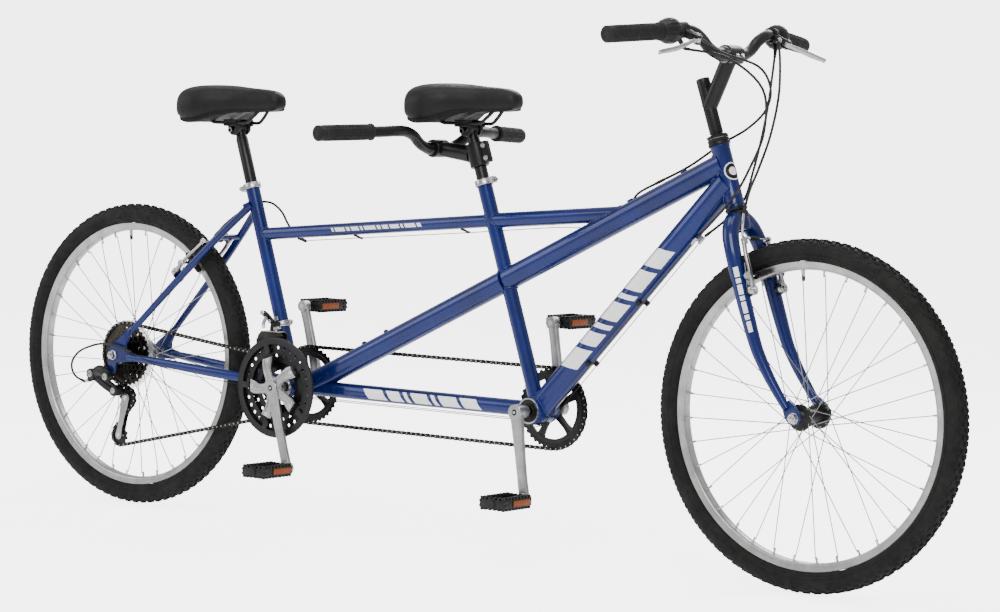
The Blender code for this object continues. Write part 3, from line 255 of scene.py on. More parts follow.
# ---------------------------------------------------------------- materials
class Graph:
    """A short way to write a material's nodes."""

    def __init__(self, name, **plain):
        self.mat = bpy.data.materials.new("look_" + name)
        self.mat.use_nodes = True
        self.nodes, self.links = self.mat.node_tree.nodes, self.mat.node_tree.links
        self.bsdf = self.nodes["Principled BSDF"]
        for key, value in plain.items():
            self.bsdf.inputs[key.replace("_", " ")].default_value = value
        self.coords = self.nodes.new("ShaderNodeTexCoord").outputs["Object"]

    def node(self, kind, **inputs):
        """A node's first output; small-letter keys are settings of the node, the others its inputs."""
        n = self.nodes.new("ShaderNode" + kind)
        for key, value in inputs.items():
            key = key.replace("_", " ")
            if key[0].islower():
                setattr(n, key.replace(" ", "_"), value)
            elif isinstance(value, bpy.types.NodeSocket):
                self.links.new(value, n.inputs[key])
            else:
                n.inputs[key].default_value = value
        return n.outputs[0]

    def noise(self, scale, detail=3.0):
        return self.node("TexNoise", Vector=self.coords, Scale=scale, Detail=detail)

    def ramp(self, factor, stops):
        n = self.nodes.new("ShaderNodeValToRGB")
        while len(n.color_ramp.elements) < len(stops):
            n.color_ramp.elements.new(0.5)
        for e, (place, colour) in zip(n.color_ramp.elements, stops):
            e.position = place
            e.color = (*colour, 1) if isinstance(colour, tuple) else (colour, colour, colour, 1)
        self.links.new(factor, n.inputs[0])
        return n.outputs[0]

    def mix(self, factor, a, b):
        n = self.nodes.new("ShaderNodeMix")
        n.data_type = "RGBA"
        for socket, value in ((n.inputs[0], factor), (n.inputs[6], a), (n.inputs[7], b)):
            if isinstance(value, bpy.types.NodeSocket):
                self.links.new(value, socket)
            else:
                socket.default_value = value if isinstance(value, float) else (*value, 1)
        return n.outputs[2]

    def bump(self, height, strength, distance, onto=None):
        n = self.nodes.new("ShaderNodeBump")
        n.inputs["Strength"].default_value = strength
        n.inputs["Distance"].default_value = distance
        self.links.new(height, n.inputs["Height"])
        if onto:
            self.links.new(onto, n.inputs["Normal"])
        return n.outputs[0]

    def set(self, **sockets):
        for key, value in sockets.items():
            self.links.new(value, self.bsdf.inputs[key.replace("_", " ")])
        return self.mat


def metal(name, dark, light, low, high, grain=0.15, metallic=1.0):
    """Bare or plated metal: patchy tone, uneven roughness and fine scratches."""
    g = Graph(name, Metallic=metallic)
    tone = g.ramp(g.noise(38, 5), [(0.35, dark), (0.68, light)])
    rough = g.ramp(g.noise(90, 4), [(0.3, low), (0.75, high)])
    return g.set(Base_Color=tone, Roughness=rough, Normal=g.bump(g.noise(900, 2), grain, 0.0002))


def moulded(name, dark, light, low, high, scale=1200, depth=0.0002, strength=0.35):
    """Moulded plastic or rubber: a fine pebbled skin with slight dusting in patches."""
    g = Graph(name, Specular_IOR_Level=0.3)
    tone = g.ramp(g.noise(26, 6), [(0.35, dark), (0.72, light)])
    rough = g.ramp(g.noise(60, 4), [(0.3, low), (0.7, high)])
    return g.set(Base_Color=tone, Roughness=rough, Normal=g.bump(g.noise(scale, 3), strength, depth))


def paint(name, deep, bright, low, high, metallic, coat, flake=0.5):
    """Sprayed paint under clear coat: metallic flake, faint mottling and orange peel."""
    g = Graph(name, Metallic=metallic, Coat_Weight=coat, Coat_Roughness=0.07, Specular_IOR_Level=0.22)
    cells = g.node("TexVoronoi", Vector=g.coords, Scale=2600.0)
    mottled = g.ramp(g.noise(9, 4), [(0.3, deep), (0.72, bright)])
    spark = tuple(min(1, c * 1.8) for c in bright)
    flaked = g.mix(g.ramp(cells, [(0.0, flake), (0.45, 0.0)]), mottled, spark)
    rough = g.ramp(g.noise(50, 4), [(0.3, low), (0.7, high)])
    peel = g.bump(g.noise(420, 2), 0.05, 0.0002)
    return g.set(Base_Color=flaked, Roughness=rough, Normal=peel)


def tyre_rubber(name, dark, light, tread):
    g = Graph(name, Specular_IOR_Level=0.22)
    tone = g.mix(g.ramp(g.noise(18, 6), [(0.4, 0.0), (0.75, 0.7)]), dark, light)
    rough = g.ramp(g.noise(70, 4), [(0.3, 0.62), (0.7, 0.85)])
    return g.set(Base_Color=tone, Roughness=rough, Normal=g.bump(g.noise(tread, 4), 0.4, 0.0003))


def leather(name):
    """Smooth coated leather: fine creased cells over a soft low swell."""
    g = Graph(name, Specular_IOR_Level=0.2)
    cells = g.node("TexVoronoi", Vector=g.coords, Scale=900.0, feature="DISTANCE_TO_EDGE")
    pebble = g.ramp(cells, [(0.0, 0.0), (0.12, 1.0)])
    tone = g.ramp(g.noise(22, 5), [(0.3, (0.0035, 0.0035, 0.0038)), (0.75, (0.0085, 0.0085, 0.0092))])
    rough = g.ramp(g.noise(35, 4), [(0.3, 0.4), (0.7, 0.56)])
    swell = g.bump(g.noise(40, 3), 0.2, 0.001)
    return g.set(Base_Color=tone, Roughness=rough, Normal=g.bump(pebble, 0.25, 0.0002, swell))


def reflector(name, colour):
    """A moulded prism lens: a grid of small pyramids under clear plastic, with a faint painted glow from emission.
    """
    # the faint emission in the lens's own colour is a painted glow: the lens is no lamp
    g = Graph(name, Specular_IOR_Level=0.25, Emission_Strength=0.03)
    cells = g.node("TexVoronoi", Vector=g.coords, Scale=420.0, distance="CHEBYCHEV")
    tone = g.ramp(cells, [(0.0, tuple(c * 0.55 for c in colour)), (0.5, colour)])
    return g.set(Base_Color=tone, Emission_Color=tone, Roughness=g.ramp(cells, [(0.0, 0.15), (0.6, 0.4)]),
        Normal=g.bump(cells, 0.8, 0.0008))


def clear(name):
    """The clear plastic of the spoke guard, a little hazy."""
    g = Graph(name, Transmission_Weight=0.85, IOR=1.45, Alpha=0.45)
    tone = g.ramp(g.noise(30, 4), [(0.3, (0.8, 0.82, 0.84)), (0.7, (0.92, 0.93, 0.94))])
    return g.set(Base_Color=tone, Roughness=g.ramp(g.noise(80, 3), [(0.3, 0.12), (0.7, 0.35)]))


LOOKS = (
    (paint, "blue_paint", (0.0012, 0.0062, 0.066), (0.0024, 0.0125, 0.122), 0.24, 0.36, 0.25, 0.4),
    (paint, "black_paint", (0.003, 0.003, 0.0032), (0.007, 0.007, 0.0074), 0.28, 0.42, 0.0, 0.08, 0.1),
    (paint, "badge_white", (0.8, 0.81, 0.83), (0.9, 0.9, 0.92), 0.25, 0.35, 0.0, 1.0, 0.1),
    (tyre_rubber, "tyre_tread", (0.005, 0.005, 0.0048), (0.014, 0.0135, 0.013), 700.0),
    (tyre_rubber, "tyre_wall", (0.005, 0.005, 0.0048), (0.011, 0.0108, 0.0104), 1500.0),
    (metal, "rim", (0.36, 0.355, 0.35), (0.48, 0.475, 0.47), 0.26, 0.42, 0.12, 0.9),
    (metal, "spoke", (0.16, 0.16, 0.165), (0.3, 0.3, 0.31), 0.22, 0.36),
    (metal, "alloy", (0.34, 0.34, 0.345), (0.52, 0.52, 0.53), 0.18, 0.34),
    (metal, "satin_alloy", (0.3, 0.3, 0.305), (0.44, 0.44, 0.445), 0.32, 0.48),
    (metal, "chrome", (0.42, 0.42, 0.43), (0.6, 0.6, 0.61), 0.06, 0.16, 0.05),
    (metal, "black_steel", (0.005, 0.005, 0.0054), (0.016, 0.0156, 0.0156), 0.28, 0.45, 0.2, 0.6),
    (metal, "sprocket", (0.018, 0.016, 0.014), (0.06, 0.054, 0.048), 0.28, 0.5),
    (metal, "chain", (0.014, 0.012, 0.01), (0.048, 0.042, 0.037), 0.25, 0.5),
    (moulded, "black_plastic", (0.0035, 0.0035, 0.0038), (0.009, 0.009, 0.0094), 0.35, 0.52),
    (moulded, "grip", (0.0045, 0.0045, 0.0045), (0.012, 0.012, 0.012), 0.6, 0.8, 1600, 0.0003, 0.5),
    (moulded, "housing", (0.004, 0.004, 0.004), (0.009, 0.009, 0.009), 0.28, 0.42, 900, 0.0001, 0.2),
    (leather, "leather"),
    # the pedal lenses' orange, with a faint painted glow from emission
    (reflector, "orange_reflector", (0.24, 0.044, 0.002)),
    (clear, "clear_guard"),
)
MATS = {name: kind(name, *rest) for kind, name, *rest in LOOKS}
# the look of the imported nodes, where it isn't named like their slot
NODE_LOOK = {"tyre_rubber": "tyre_wall", "rim_alloy": "rim", "polished_alloy": "alloy",
    "dark_steel": "sprocket", "grip_rubber": "grip", "saddle_skin": "leather", "cable_housing": "housing"}
for part in frame["record"]["subparts"]:
    mesh, slot = frame["nodes"][part["node"]].data, part["material_slot"]
    mesh.materials.clear()
    mesh.materials.append(MATS[NODE_LOOK.get(slot, slot)])


# ---------------------------------------------------------------- camera, light and floor
CAMERA_AT, CAMERA_LENS, SENSOR_WIDTH = (3.76125, -4.7121, 0.8776), 107.85, 36.0
YAW, PITCH, ROLL = 0.6555, 0.0649, 0.0232
WORLD_STRENGTH, BACKDROP_STRENGTH = 0.75, 4.6
FLOOR_BOUNCE, FLOOR_GLOW, FLOOR_Z = 0.5, 4.0, -0.0008
AIM = Vector((0, 0, 0.5))
# name, place, size, power, tint
LIGHTS = (
    ("key", (2.2, -3.4, 3.6), (2.6, 2.0), 150, (1.0, 0.99, 0.97)),
    ("fill", (-3.4, -2.4, 2.4), (2.4, 2.4), 60, (0.97, 0.98, 1.0)),
    ("rim_light", (-0.8, 3.2, 3.0), (3.0, 1.2), 80, (1.0, 1.0, 1.0)),
    ("top", (0.2, -0.4, 4.2), (3.4, 1.6), 70, (1.0, 1.0, 1.0)),
)


def set_camera():
    """The photograph's camera, as fitted to its points."""
    ahead = Vector((-sin(YAW) * cos(PITCH), cos(YAW) * cos(PITCH), -sin(PITCH)))
    right = ahead.cross(Z).normalized()
    up = right.cross(ahead)
    right, up = right * cos(ROLL) + up * sin(ROLL), up * cos(ROLL) - right * sin(ROLL)
    data = bpy.data.cameras.new("camera")
    data.lens, data.sensor_width = CAMERA_LENS, SENSOR_WIDTH
    data.clip_start, data.clip_end = 0.1, 60.0
    camera = bpy.data.objects.new("camera", data)
    turned = Matrix((right, up, -ahead)).transposed().to_4x4()
    camera.matrix_world = Matrix.Translation(CAMERA_AT) @ turned
    bpy.context.scene.collection.objects.link(camera)
    bpy.context.scene.camera = camera


def set_light():
    world = bpy.data.worlds.new("studio")
    world.use_nodes = True
    nodes, links = world.node_tree.nodes, world.node_tree.links
    lighting = nodes["Background"]
    lighting.inputs["Strength"].default_value = WORLD_STRENGTH
    backdrop = nodes.new("ShaderNodeBackground")
    backdrop.inputs["Strength"].default_value = BACKDROP_STRENGTH
    for back in (lighting, backdrop):
        back.inputs["Color"].default_value = (1.0, 1.0, 1.0, 1.0)
    seen = nodes.new("ShaderNodeMixShader")
    links.new(nodes.new("ShaderNodeLightPath").outputs["Is Camera Ray"], seen.inputs[0])
    links.new(lighting.outputs[0], seen.inputs[1])
    links.new(backdrop.outputs[0], seen.inputs[2])
    links.new(seen.outputs[0], nodes["World Output"].inputs["Surface"])
    bpy.context.scene.world = world
    for name, place, size, power, tint in LIGHTS:
        data = bpy.data.lights.new(name, "AREA")
        data.shape, data.size, data.size_y = "RECTANGLE", *size
        data.energy, data.color = power, tint
        light = bpy.data.objects.new(name, data)
        light.location = place
        light.rotation_mode = "QUATERNION"
        light.rotation_quaternion = (AIM - Vector(place)).to_track_quat("-Z", "Y")
        bpy.context.scene.collection.objects.link(light)


def set_floor():
    bm = bmesh.new()
    bmesh.ops.create_grid(bm, x_segments=2, y_segments=2, size=14.0)
    mesh = bpy.data.meshes.new("floor")
    bm.to_mesh(mesh)
    bm.free()
    g = Graph("floor")
    seen = g.nodes.new("ShaderNodeLightPath").outputs["Is Camera Ray"]
    glow = g.node("MapRange", Value=seen, To_Min=FLOOR_BOUNCE, To_Max=FLOOR_GLOW)
    g.bsdf.inputs["Emission Color"].default_value = (1.0, 1.0, 1.0, 1.0)
    tone = g.ramp(g.noise(1.5, 3), [(0.3, 0.905), (0.7, 0.925)])
    rough = g.ramp(g.noise(3, 3), [(0.3, 0.55), (0.7, 0.65)])
    mesh.materials.append(g.set(Base_Color=tone, Roughness=rough, Emission_Strength=glow))
    floor = bpy.data.objects.new("floor", mesh)
    floor.location.z = FLOOR_Z
    bpy.context.scene.collection.objects.link(floor)


set_camera()
set_light()
set_floor()


# ---------------------------------------------------------------- frame
REAR_AXLE, FRONT_AXLE = S(0, 329), S(WHEELBASE, 329)
REAR_BB, FRONT_BB = S(466, 292), S(1105, 292)
HEAD_TOP, HEAD_BOTTOM = S(1513.9, 822.5), S(1553.8, 707.6)
HEAD_UP = (HEAD_TOP - HEAD_BOTTOM).normalized()
HEAD_FORWARD = ahead_of(HEAD_UP)
BADGE_TURN = 0.3
FRONT_SEAT_TOP, REAR_SEAT_TOP = S(953.5, 740), S(331, 712.5)
FRONT_SEAT_UP = (FRONT_SEAT_TOP - FRONT_BB).normalized()
REAR_SEAT_UP = (REAR_SEAT_TOP - REAR_BB).normalized()
LAT_HEAD, LAT_SEAT, LAT_LOW = S(1525.5, 789.2), S(1017.8, 543.8), S(493, 292)
LAT_UP = (LAT_HEAD - LAT_SEAT).normalized()
DOWN_HEAD = S(1537, 756.1)
DOWN_UP = (DOWN_HEAD - FRONT_BB).normalized()
TOP_REAR, TOP_MID, TOP_LAT = S(363.6, 606.7), S(978.7, 660.2), S(1315.9, 687.9)
TOP_FWD = (TOP_LAT - TOP_MID).normalized()
STAY_UP = (S(190, 520) - S(52, 386)).normalized()
STAY_OUT = -ahead_of(STAY_UP)
SHELL, FRONT_SHELL_R, REAR_SHELL_R = (-34, 34), 27, 20
HEAD_SPAN = (2, 119)
HEAD_R, LAT_R, DOWN_R, SEAT_R, TOP_R, FTOP_R, BOOM_R = 18, 22.5, 25, 15, 13, 15, 16


def bead_runs(p, end_from, towards, radius, centre, axis, big, bead=2.2, span=(-1000, 1000), count=96):
    """Weld beads where one round tube runs into another, also where it is wider than the other.

    span is how far the bigger tube reaches along axis from centre: a bead never leaves it.
    """
    along = (towards - end_from).normalized()
    hits = [surface_meet(end_from + t * radius, along, centre, axis, big) for t in circle(along, count)]
    hits = [hit if hit is not None and span[0] <= (hit - centre).dot(axis) <= span[1] else None
        for hit in hits]
    if all(hits):
        radii = [bead * (1 + 0.08 * sin(k * 0.9)) for k in range(count)]
        p.sweep(hits, radii, 10, closed=True, mat="blue_paint")
        return
    start = next(k for k in range(count) if hits[k] is None)
    run = []
    for hit in hits[start:] + hits[:start + 1]:
        if hit is not None:
            run.append(hit)
            continue
        if len(run) > 6:
            p.sweep(run, bead, 10, mat="blue_paint")
        run = []


def decal(p, a, b, r, t0, t1, middle, half, slant):
    """A printed patch wrapped on a round tube: t0 to t1 along a-b, an angle band, its ends slanted."""
    axis = (b - a).normalized()
    up = axis.cross(Y).normalized()
    if up.z < 0:
        up = -up
    rows = []
    for v in range(9):
        angle = middle + half * (v / 4 - 1)
        out = Y * sin(angle) + up * cos(angle)
        rows.append(([a + axis * (t0 + (t1 - t0) * u / 4 + slant * (1 - v / 4)) + out * (r + 0.35)
            for u in range(5)], out))
    bm = bmesh.new()
    top = [[bm.verts.new(q) for q in row] for row, _ in rows]
    low = [[bm.verts.new(q - out * 0.6) for q in row] for row, out in rows]
    for grid in (top, low):
        for i in range(8):
            for j in range(4):
                bm.faces.new((grid[i][j], grid[i][j + 1], grid[i + 1][j + 1], grid[i + 1][j]))
    edge = ([(0, j) for j in range(4)] + [(i, 4) for i in range(8)]
        + [(8, j) for j in range(4, 0, -1)] + [(i, 0) for i in range(8, 0, -1)])
    for (i, j), (k, l) in zip(edge, edge[1:] + edge[:1]):
        bm.faces.new((top[i][j], top[k][l], low[k][l], low[i][j]))
    p.add(bm, "badge_white")


def stripes(p, a, b, r, start, lengths, gap, half, slant):
    """A row of slanted bars on both sides of a tube, as a plain graphic."""
    for middle in (-pi / 2, pi / 2):
        t = start
        for length in lengths:
            decal(p, a, b, r, t, t + length, middle, half, slant)
            t += length + gap


def head_tube():
    length = (HEAD_TOP - HEAD_BOTTOM).length
    p = Piece("head_tube_and_headset", "black_steel")
    p.lathe([(16.5, 0), (19, 0), (19.2, 3), (18.1, 6), (18, length / 2), (18.1, length - 6),
        (19.2, length - 3), (19, length), (16.5, length)], HEAD_BOTTOM, HEAD_UP, mat="blue_paint")
    for base, rising in ((HEAD_BOTTOM, -HEAD_UP), (HEAD_TOP, HEAD_UP)):
        p.lathe([(13.4, 0.2), (20, 0.2), (21.2, 1.2), (21.5, 4), (20.5, 6), (19.8, 6.6), (13.4, 6.6)], base,
            rising)
    p.lathe([(13.4, 7), (20, 7), (20.8, 8.2), (21, 11.5), (20, 12.8), (13.4, 12.8)], HEAD_TOP, HEAD_UP)
    p.lathe([(13.4, 13), (17.5, 13), (17.5, 14.2), (13.4, 14.2)], HEAD_TOP, HEAD_UP, mat="chrome")
    p.lathe([(13.4, 14.4), (20.5, 14.4), (21, 15), (21, 19.4), (20.2, 20), (13.4, 20)], HEAD_TOP, HEAD_UP, 8)
    face = HEAD_BOTTOM + HEAD_UP * (length * 0.55)
    for r, mat, lift in ((17.2, "badge_white", 0.4), (14.8, "black_paint", 0.7), (8, "badge_white", 1)):
        rings = []
        for share, high in ((0.04, lift), (0.35, lift), (0.7, lift), (1, lift), (1, -1)):
            turns = [(TAU * k / 40, sin(TAU * k / 40) * r * share / HEAD_R - BADGE_TURN) for k in range(40)]
            rings.append([face + HEAD_UP * (cos(t) * r * share) +
                (HEAD_FORWARD * cos(round_by) + Y * sin(round_by)) * (HEAD_R + high) for t, round_by in turns])
        p.rings(rings, mat=mat)
    for foot, head, r in ((LAT_SEAT, LAT_HEAD, LAT_R), (FRONT_BB, DOWN_HEAD, DOWN_R)):
        bead_runs(p, foot, head, r, HEAD_BOTTOM, HEAD_UP, HEAD_R, 2.6, HEAD_SPAN)
    p.make("frame", "head_tube")


def lateral_tube_front():
    p = Piece("upper_diagonal_and_top_tube", "blue_paint")
    p.rod(LAT_SEAT + LAT_UP * 4, LAT_HEAD, LAT_R, 48)
    p.rod(TOP_MID, TOP_LAT - TOP_FWD * 4, FTOP_R, 40)
    bead_runs(p, TOP_LAT, TOP_MID, FTOP_R, FRONT_BB, FRONT_SEAT_UP, SEAT_R + 0.3)
    bead_runs(p, TOP_MID, TOP_LAT, FTOP_R, LAT_SEAT, LAT_UP, LAT_R)
    bead_runs(p, LAT_HEAD, LAT_SEAT, LAT_R, FRONT_BB, FRONT_SEAT_UP, SEAT_R + 0.3, 2.6)
    for x, tube_z in ((1116, 671.5), (1210, 679.1)):
        p.sweep([S(x, tube_z - 13, y) for y in (4, 13, 21, 23.5, 20, 15)], [2.2] * 6, 8, mat="black_plastic")
    for t in (0.16, 0.4):
        at = LAT_SEAT.lerp(LAT_HEAD, 1 - t) - ahead_of(LAT_UP) * (LAT_R + 1)
        p.box(at, (12, 8, 6), LAT_UP, bevel=1.8)
    p.make("frame", "lateral_tube_front")


def lateral_tube_rear():
    p = Piece("lower_diagonal", "blue_paint")
    p.rod(LAT_LOW, LAT_SEAT - LAT_UP * 4, LAT_R, 48)
    bead_runs(p, LAT_LOW, LAT_SEAT, LAT_R, FRONT_BB, FRONT_SEAT_UP, SEAT_R + 0.3, 2.6)
    bead_runs(p, LAT_SEAT, LAT_LOW, LAT_R, REAR_BB, Y, REAR_SHELL_R, span=SHELL)
    boss_up = -ahead_of(LAT_UP)
    for along in (395, 331):
        foot = LAT_SEAT - LAT_UP * along + boss_up * (LAT_R - 1)
        p.lathe([(2.6, -1), (5, -1), (5, 4.4), (4.6, 5), (2.6, 5)], foot, boss_up, 24)
        p.bolt(foot + boss_up * 3, boss_up, 4.2, 3.5, False, "black_steel")
    p.make("frame", "lateral_tube_rear")


def down_tube():
    p = Piece("down_tube_shell", "blue_paint")
    p.rod(FRONT_BB, DOWN_HEAD, DOWN_R, 56)
    bead_runs(p, DOWN_HEAD, FRONT_BB, DOWN_R, FRONT_BB, Y, FRONT_SHELL_R, 2.6, SHELL)
    bead_runs(p, FRONT_BB, DOWN_HEAD, DOWN_R, LAT_SEAT, LAT_UP, LAT_R, 2.4, (0, 542))
    stripes(p, FRONT_BB, DOWN_HEAD, DOWN_R, 125, (52, 34, 12, 46, 12, 52, 46), 12, 0.72, 11)
    outward = ahead_of(DOWN_UP)
    p.box(FRONT_BB + DOWN_UP * 510 + outward * (DOWN_R + 1), (12, 16, 8), DOWN_UP)
    for y in (-12, 12):
        at = FRONT_BB + DOWN_UP * 497 + outward * (DOWN_R + 4) + Y * y
        p.pin(at, DOWN_UP, 0, 16, 3.4, ends=0.6, mat="chrome")
    for along in (160, 330):
        at = FRONT_BB + DOWN_UP * along + outward * (DOWN_R - 2)
        p.box(at, (10, 32, 4.5), DOWN_UP, bevel=1.2, mat="black_plastic")
        for y in (-13.5, 13.5):
            p.box(at + outward * 3 + Y * y, (10, 7, 8), DOWN_UP, bevel=1.5, mat="black_plastic")
    p.make("frame", "down_tube")


def front_seat_tube():
    p = Piece("front_seat_tube_shell", "blue_paint")
    p.rod(FRONT_BB, FRONT_SEAT_TOP - FRONT_SEAT_UP, SEAT_R, 40)
    bead_runs(p, FRONT_SEAT_TOP, FRONT_BB, SEAT_R, FRONT_BB, Y, FRONT_SHELL_R, span=SHELL)
    p.make("frame", "front_seat_tube")


def rear_seat_and_top_tube():
    p = Piece("rear_seat_tube_and_top_tube", "blue_paint")
    p.rod(REAR_BB, REAR_SEAT_TOP - REAR_SEAT_UP, SEAT_R, 40)
    p.rod(TOP_REAR, TOP_MID, TOP_R, 36)
    bead_runs(p, REAR_SEAT_TOP, REAR_BB, SEAT_R, REAR_BB, Y, REAR_SHELL_R, span=SHELL)
    bead_runs(p, TOP_MID, TOP_REAR, TOP_R, REAR_BB, REAR_SEAT_UP, SEAT_R)
    bead_runs(p, TOP_REAR, TOP_MID, TOP_R, FRONT_BB, FRONT_SEAT_UP, SEAT_R)
    stripes(p, TOP_REAR, TOP_MID, TOP_R, 205, (5, 26, 9, 20, 6, 30, 9, 16, 24, 6, 28, 10), 4.5, 0.3, 2)
    for x in (467, 621, 902):
        at = TOP_REAR.lerp(TOP_MID, (S(x, 0).x - TOP_REAR.x) / (TOP_MID.x - TOP_REAR.x)) - Z * 13.5
        p.sweep([at + Y * y + Z * h for y, h in ((-2, 0), (10, -3), (18.5, -6.5), (23.5, -6.5))], [2.6] * 4,
            8, mat="black_plastic")
    p.make("frame", "rear_seat_and_top_tube")


def bottom_bracket_boom():
    p = Piece("bottom_brackets_and_boom", "blue_paint")
    p.rod(REAR_BB, FRONT_BB, BOOM_R, 40)
    for centre, r, bore, mat in ((FRONT_BB, FRONT_SHELL_R, 23.5, "black_steel"),
            (REAR_BB, REAR_SHELL_R, 17, "alloy")):
        p.lathe(cuff(bore, r, 34, 0.8, 1), centre, steps=56)
        cup = [(10, 32.5), (bore - 0.6, 32.5), (bore - 0.6, 35.2), (bore - 2, 36.6), (12.5, 36.6), (10, 35)]
        ring = [(bore - 0.4, 34.2), (bore + 1.8, 34.2), (bore + 1.8, 34.9), (bore - 0.4, 34.9)]
        for hand in (RIGHT, LEFT):
            p.lathe(cup, centre, steps=32, mat=mat, hand=hand)
            p.lathe(ring, centre, steps=40, mat="alloy", hand=hand)
    bead_runs(p, REAR_BB, FRONT_BB, BOOM_R, FRONT_BB, Y, FRONT_SHELL_R, span=SHELL)
    bead_runs(p, FRONT_BB, REAR_BB, BOOM_R, REAR_BB, Y, REAR_SHELL_R, span=SHELL)
    stripes(p, REAR_BB, FRONT_BB, BOOM_R, 205, (50, 34, 10, 42, 10, 46, 42), 10, 0.66, 8)
    p.box(FRONT_BB + Vector((4, 0, -25.5)), (16, 38, 6), bevel=1.2, mat="black_plastic")
    p.bolt(FRONT_BB + Vector((-12, 0, -24.5)), Vector((-0.45, 0, -0.9)), 3.5, 4, mat="alloy")
    p.make("frame", "bottom_bracket_boom")


def seat_stays():
    p = Piece("seat_stay_pair", "blue_paint")
    for hand in (RIGHT, LEFT):
        path = smooth([S(52, 386, 67.5 * hand), S(190, 520, 50 * hand), S(275, 603, 33 * hand),
            S(338, 664, 14 * hand)], 8)
        p.sweep(path, [6.5 + 1.7 * min(1, k / 8) for k in range(len(path))], 20)
        foot = S(176, 507, 51.5 * hand)
        p.pin(foot, STAY_OUT, 0, 16, 5, r2=4.5)
        p.sweep([S(330, 660, 16.5 * hand), S(341.5, 668, 12 * hand)], [10.5, 8.5], 20)
        p.sweep([foot - STAY_UP * 10 - STAY_OUT * 3, foot - STAY_OUT,
            foot + STAY_UP * 10 - STAY_OUT * 3], [5.5, 8.2, 5.5], 14)
    p.rod(S(268, 596, -34), S(268, 596, 34), 6)
    p.rod(S(274, 590, 0), S(262, 602, 0), 2.8, ends=0.5, mat="black_steel")
    p.make("frame", "seat_stays")


def chain_stays():
    p = Piece("chain_stay_pair", "blue_paint")
    for hand in (RIGHT, LEFT):
        path = smooth([S(40, 327.5, 70 * hand), S(130, 321, 60 * hand), S(300, 307, 43 * hand),
            S(390, 300, 29 * hand), S(462, 294.5, 20 * hand)], 8)
        radii = [6.5 + 3 * min(1, k / 14) for k in range(len(path))]
        p.sweep(path, radii, 22, 1.12)
        outline = [(-14, 318), (-14, 342), (-4, 352), (30, 376), (46, 391), (54, 383), (36, 352), (36, 338),
            (60, 334), (60, 318), (10, 314)]
        if hand == RIGHT:
            outline[0:0] = [(4, 292), (-7, 286), (-18, 292)]
        p.slab([S(x, z) for x, z in outline], *sorted((67.5 * hand, 73.5 * hand)), bevel=0.7)
    p.rod(S(378, 301, -30), S(378, 301, 30), 6)
    p.make("frame", "chain_stays")


def seat_collars():
    for end, top, up, turn in (("front", FRONT_SEAT_TOP, FRONT_SEAT_UP, 1),
            ("rear", REAR_SEAT_TOP, REAR_SEAT_UP, -1)):
        p = Piece(end + "_collar", "chrome")
        fwd = ahead_of(up) * turn
        p.lathe([(15.2, -9.5), (17.8, -9.5), (18.6, -8.5), (18.6, 1.5), (17.8, 2.6), (13, 2.6), (13, 0.8),
            (15.2, 0.8)], top - up * 2, up, mat="alloy")
        for y in (-4.5, 4.5):
            p.box(top - up * 5.5 + fwd * 22 + Y * y, (11, 6.2, 12.5), fwd, bevel=1.5, mat="alloy")
        at = top - up * 5.5 + fwd * 23
        p.pin(at, Y, -14, 12, 2.6)
        p.bolt(at + Y * 8, Y, 4.2, 4.5)
        p.bolt(at - Y * 8, -Y, 4.2, 5, False)
        p.make("frame", end + "_seat_collar")


head_tube()
lateral_tube_front()
lateral_tube_rear()
down_tube()
front_seat_tube()
rear_seat_and_top_tube()
bottom_bracket_boom()
seat_stays()
chain_stays()
seat_collars()


# ---------------------------------------------------------------- wheels
SPOKES = 36
TREAD_BLOCKS = 84
# rows of blocks: off the centre line, outer radius, width, length, share of a step turned, skew
TREAD = ((0, 328.8, 6, 8.5, 0, 0.35), (7.8, 327.8, 5, 9, 0.5, 0.3), (15, 324, 5.2, 10, 0, 0),
    (20.8, 318.8, 6, 9.5, 0.5, 0))


def tyre(name, centre, body):
    """The carcass with two moulded lines on each wall, and rows of tread blocks."""
    p = Piece(name + "_tyre_carcass", "tyre_wall")
    half = smooth([Vector((r, y, 0)) for r, y in ((287.5, 12.8), (290.5, 18), (296, 22.6), (304, 24.6),
        (312, 23.8), (319, 19.6), (323.8, 12), (325.8, 0))], 3)
    inside = [(287.5, -10), (305, -20), (320, 0), (305, 20), (287.5, 10)]
    p.lathe([(v.x, v.y) for v in half] + [(v.x, -v.y) for v in reversed(half[:-1])] + inside, centre,
        steps=160)
    for side in (-1, 1):
        for r, w in ((292.5, 20.4), (298.5, 24)):
            line = [(r, w), (r + 0.6, w + 0.7), (r + 1.2, w), (r, w - 2)]
            p.lathe(line, centre, steps=160, hand=side)
    for off, top, width, length, phase, skew in TREAD:
        for side in (1, -1) if off else (1,):
            tilt = asin(off * side / 27.5)
            for k in range(TREAD_BLOCKS):
                a = TAU * (k + phase) / TREAD_BLOCKS
                spoke, around = radial(a), radial(a + pi / 2)
                out = (spoke * cos(tilt) + Y * sin(tilt)).normalized()
                fwd = (around + out.cross(around) * skew * side).normalized()
                at, sideways = centre + spoke * top + Y * off * side, out.cross(fwd)
                p.rings([[at - out * depth + (fwd * length * u + sideways * width * v) * grow
                    for u, v in flat(0.5, 0.5)] for depth, grow in ((4.5, 1), (0, 0.82))], mat="tyre_tread")
    p.make(body, name + "_tyre", angle=30)


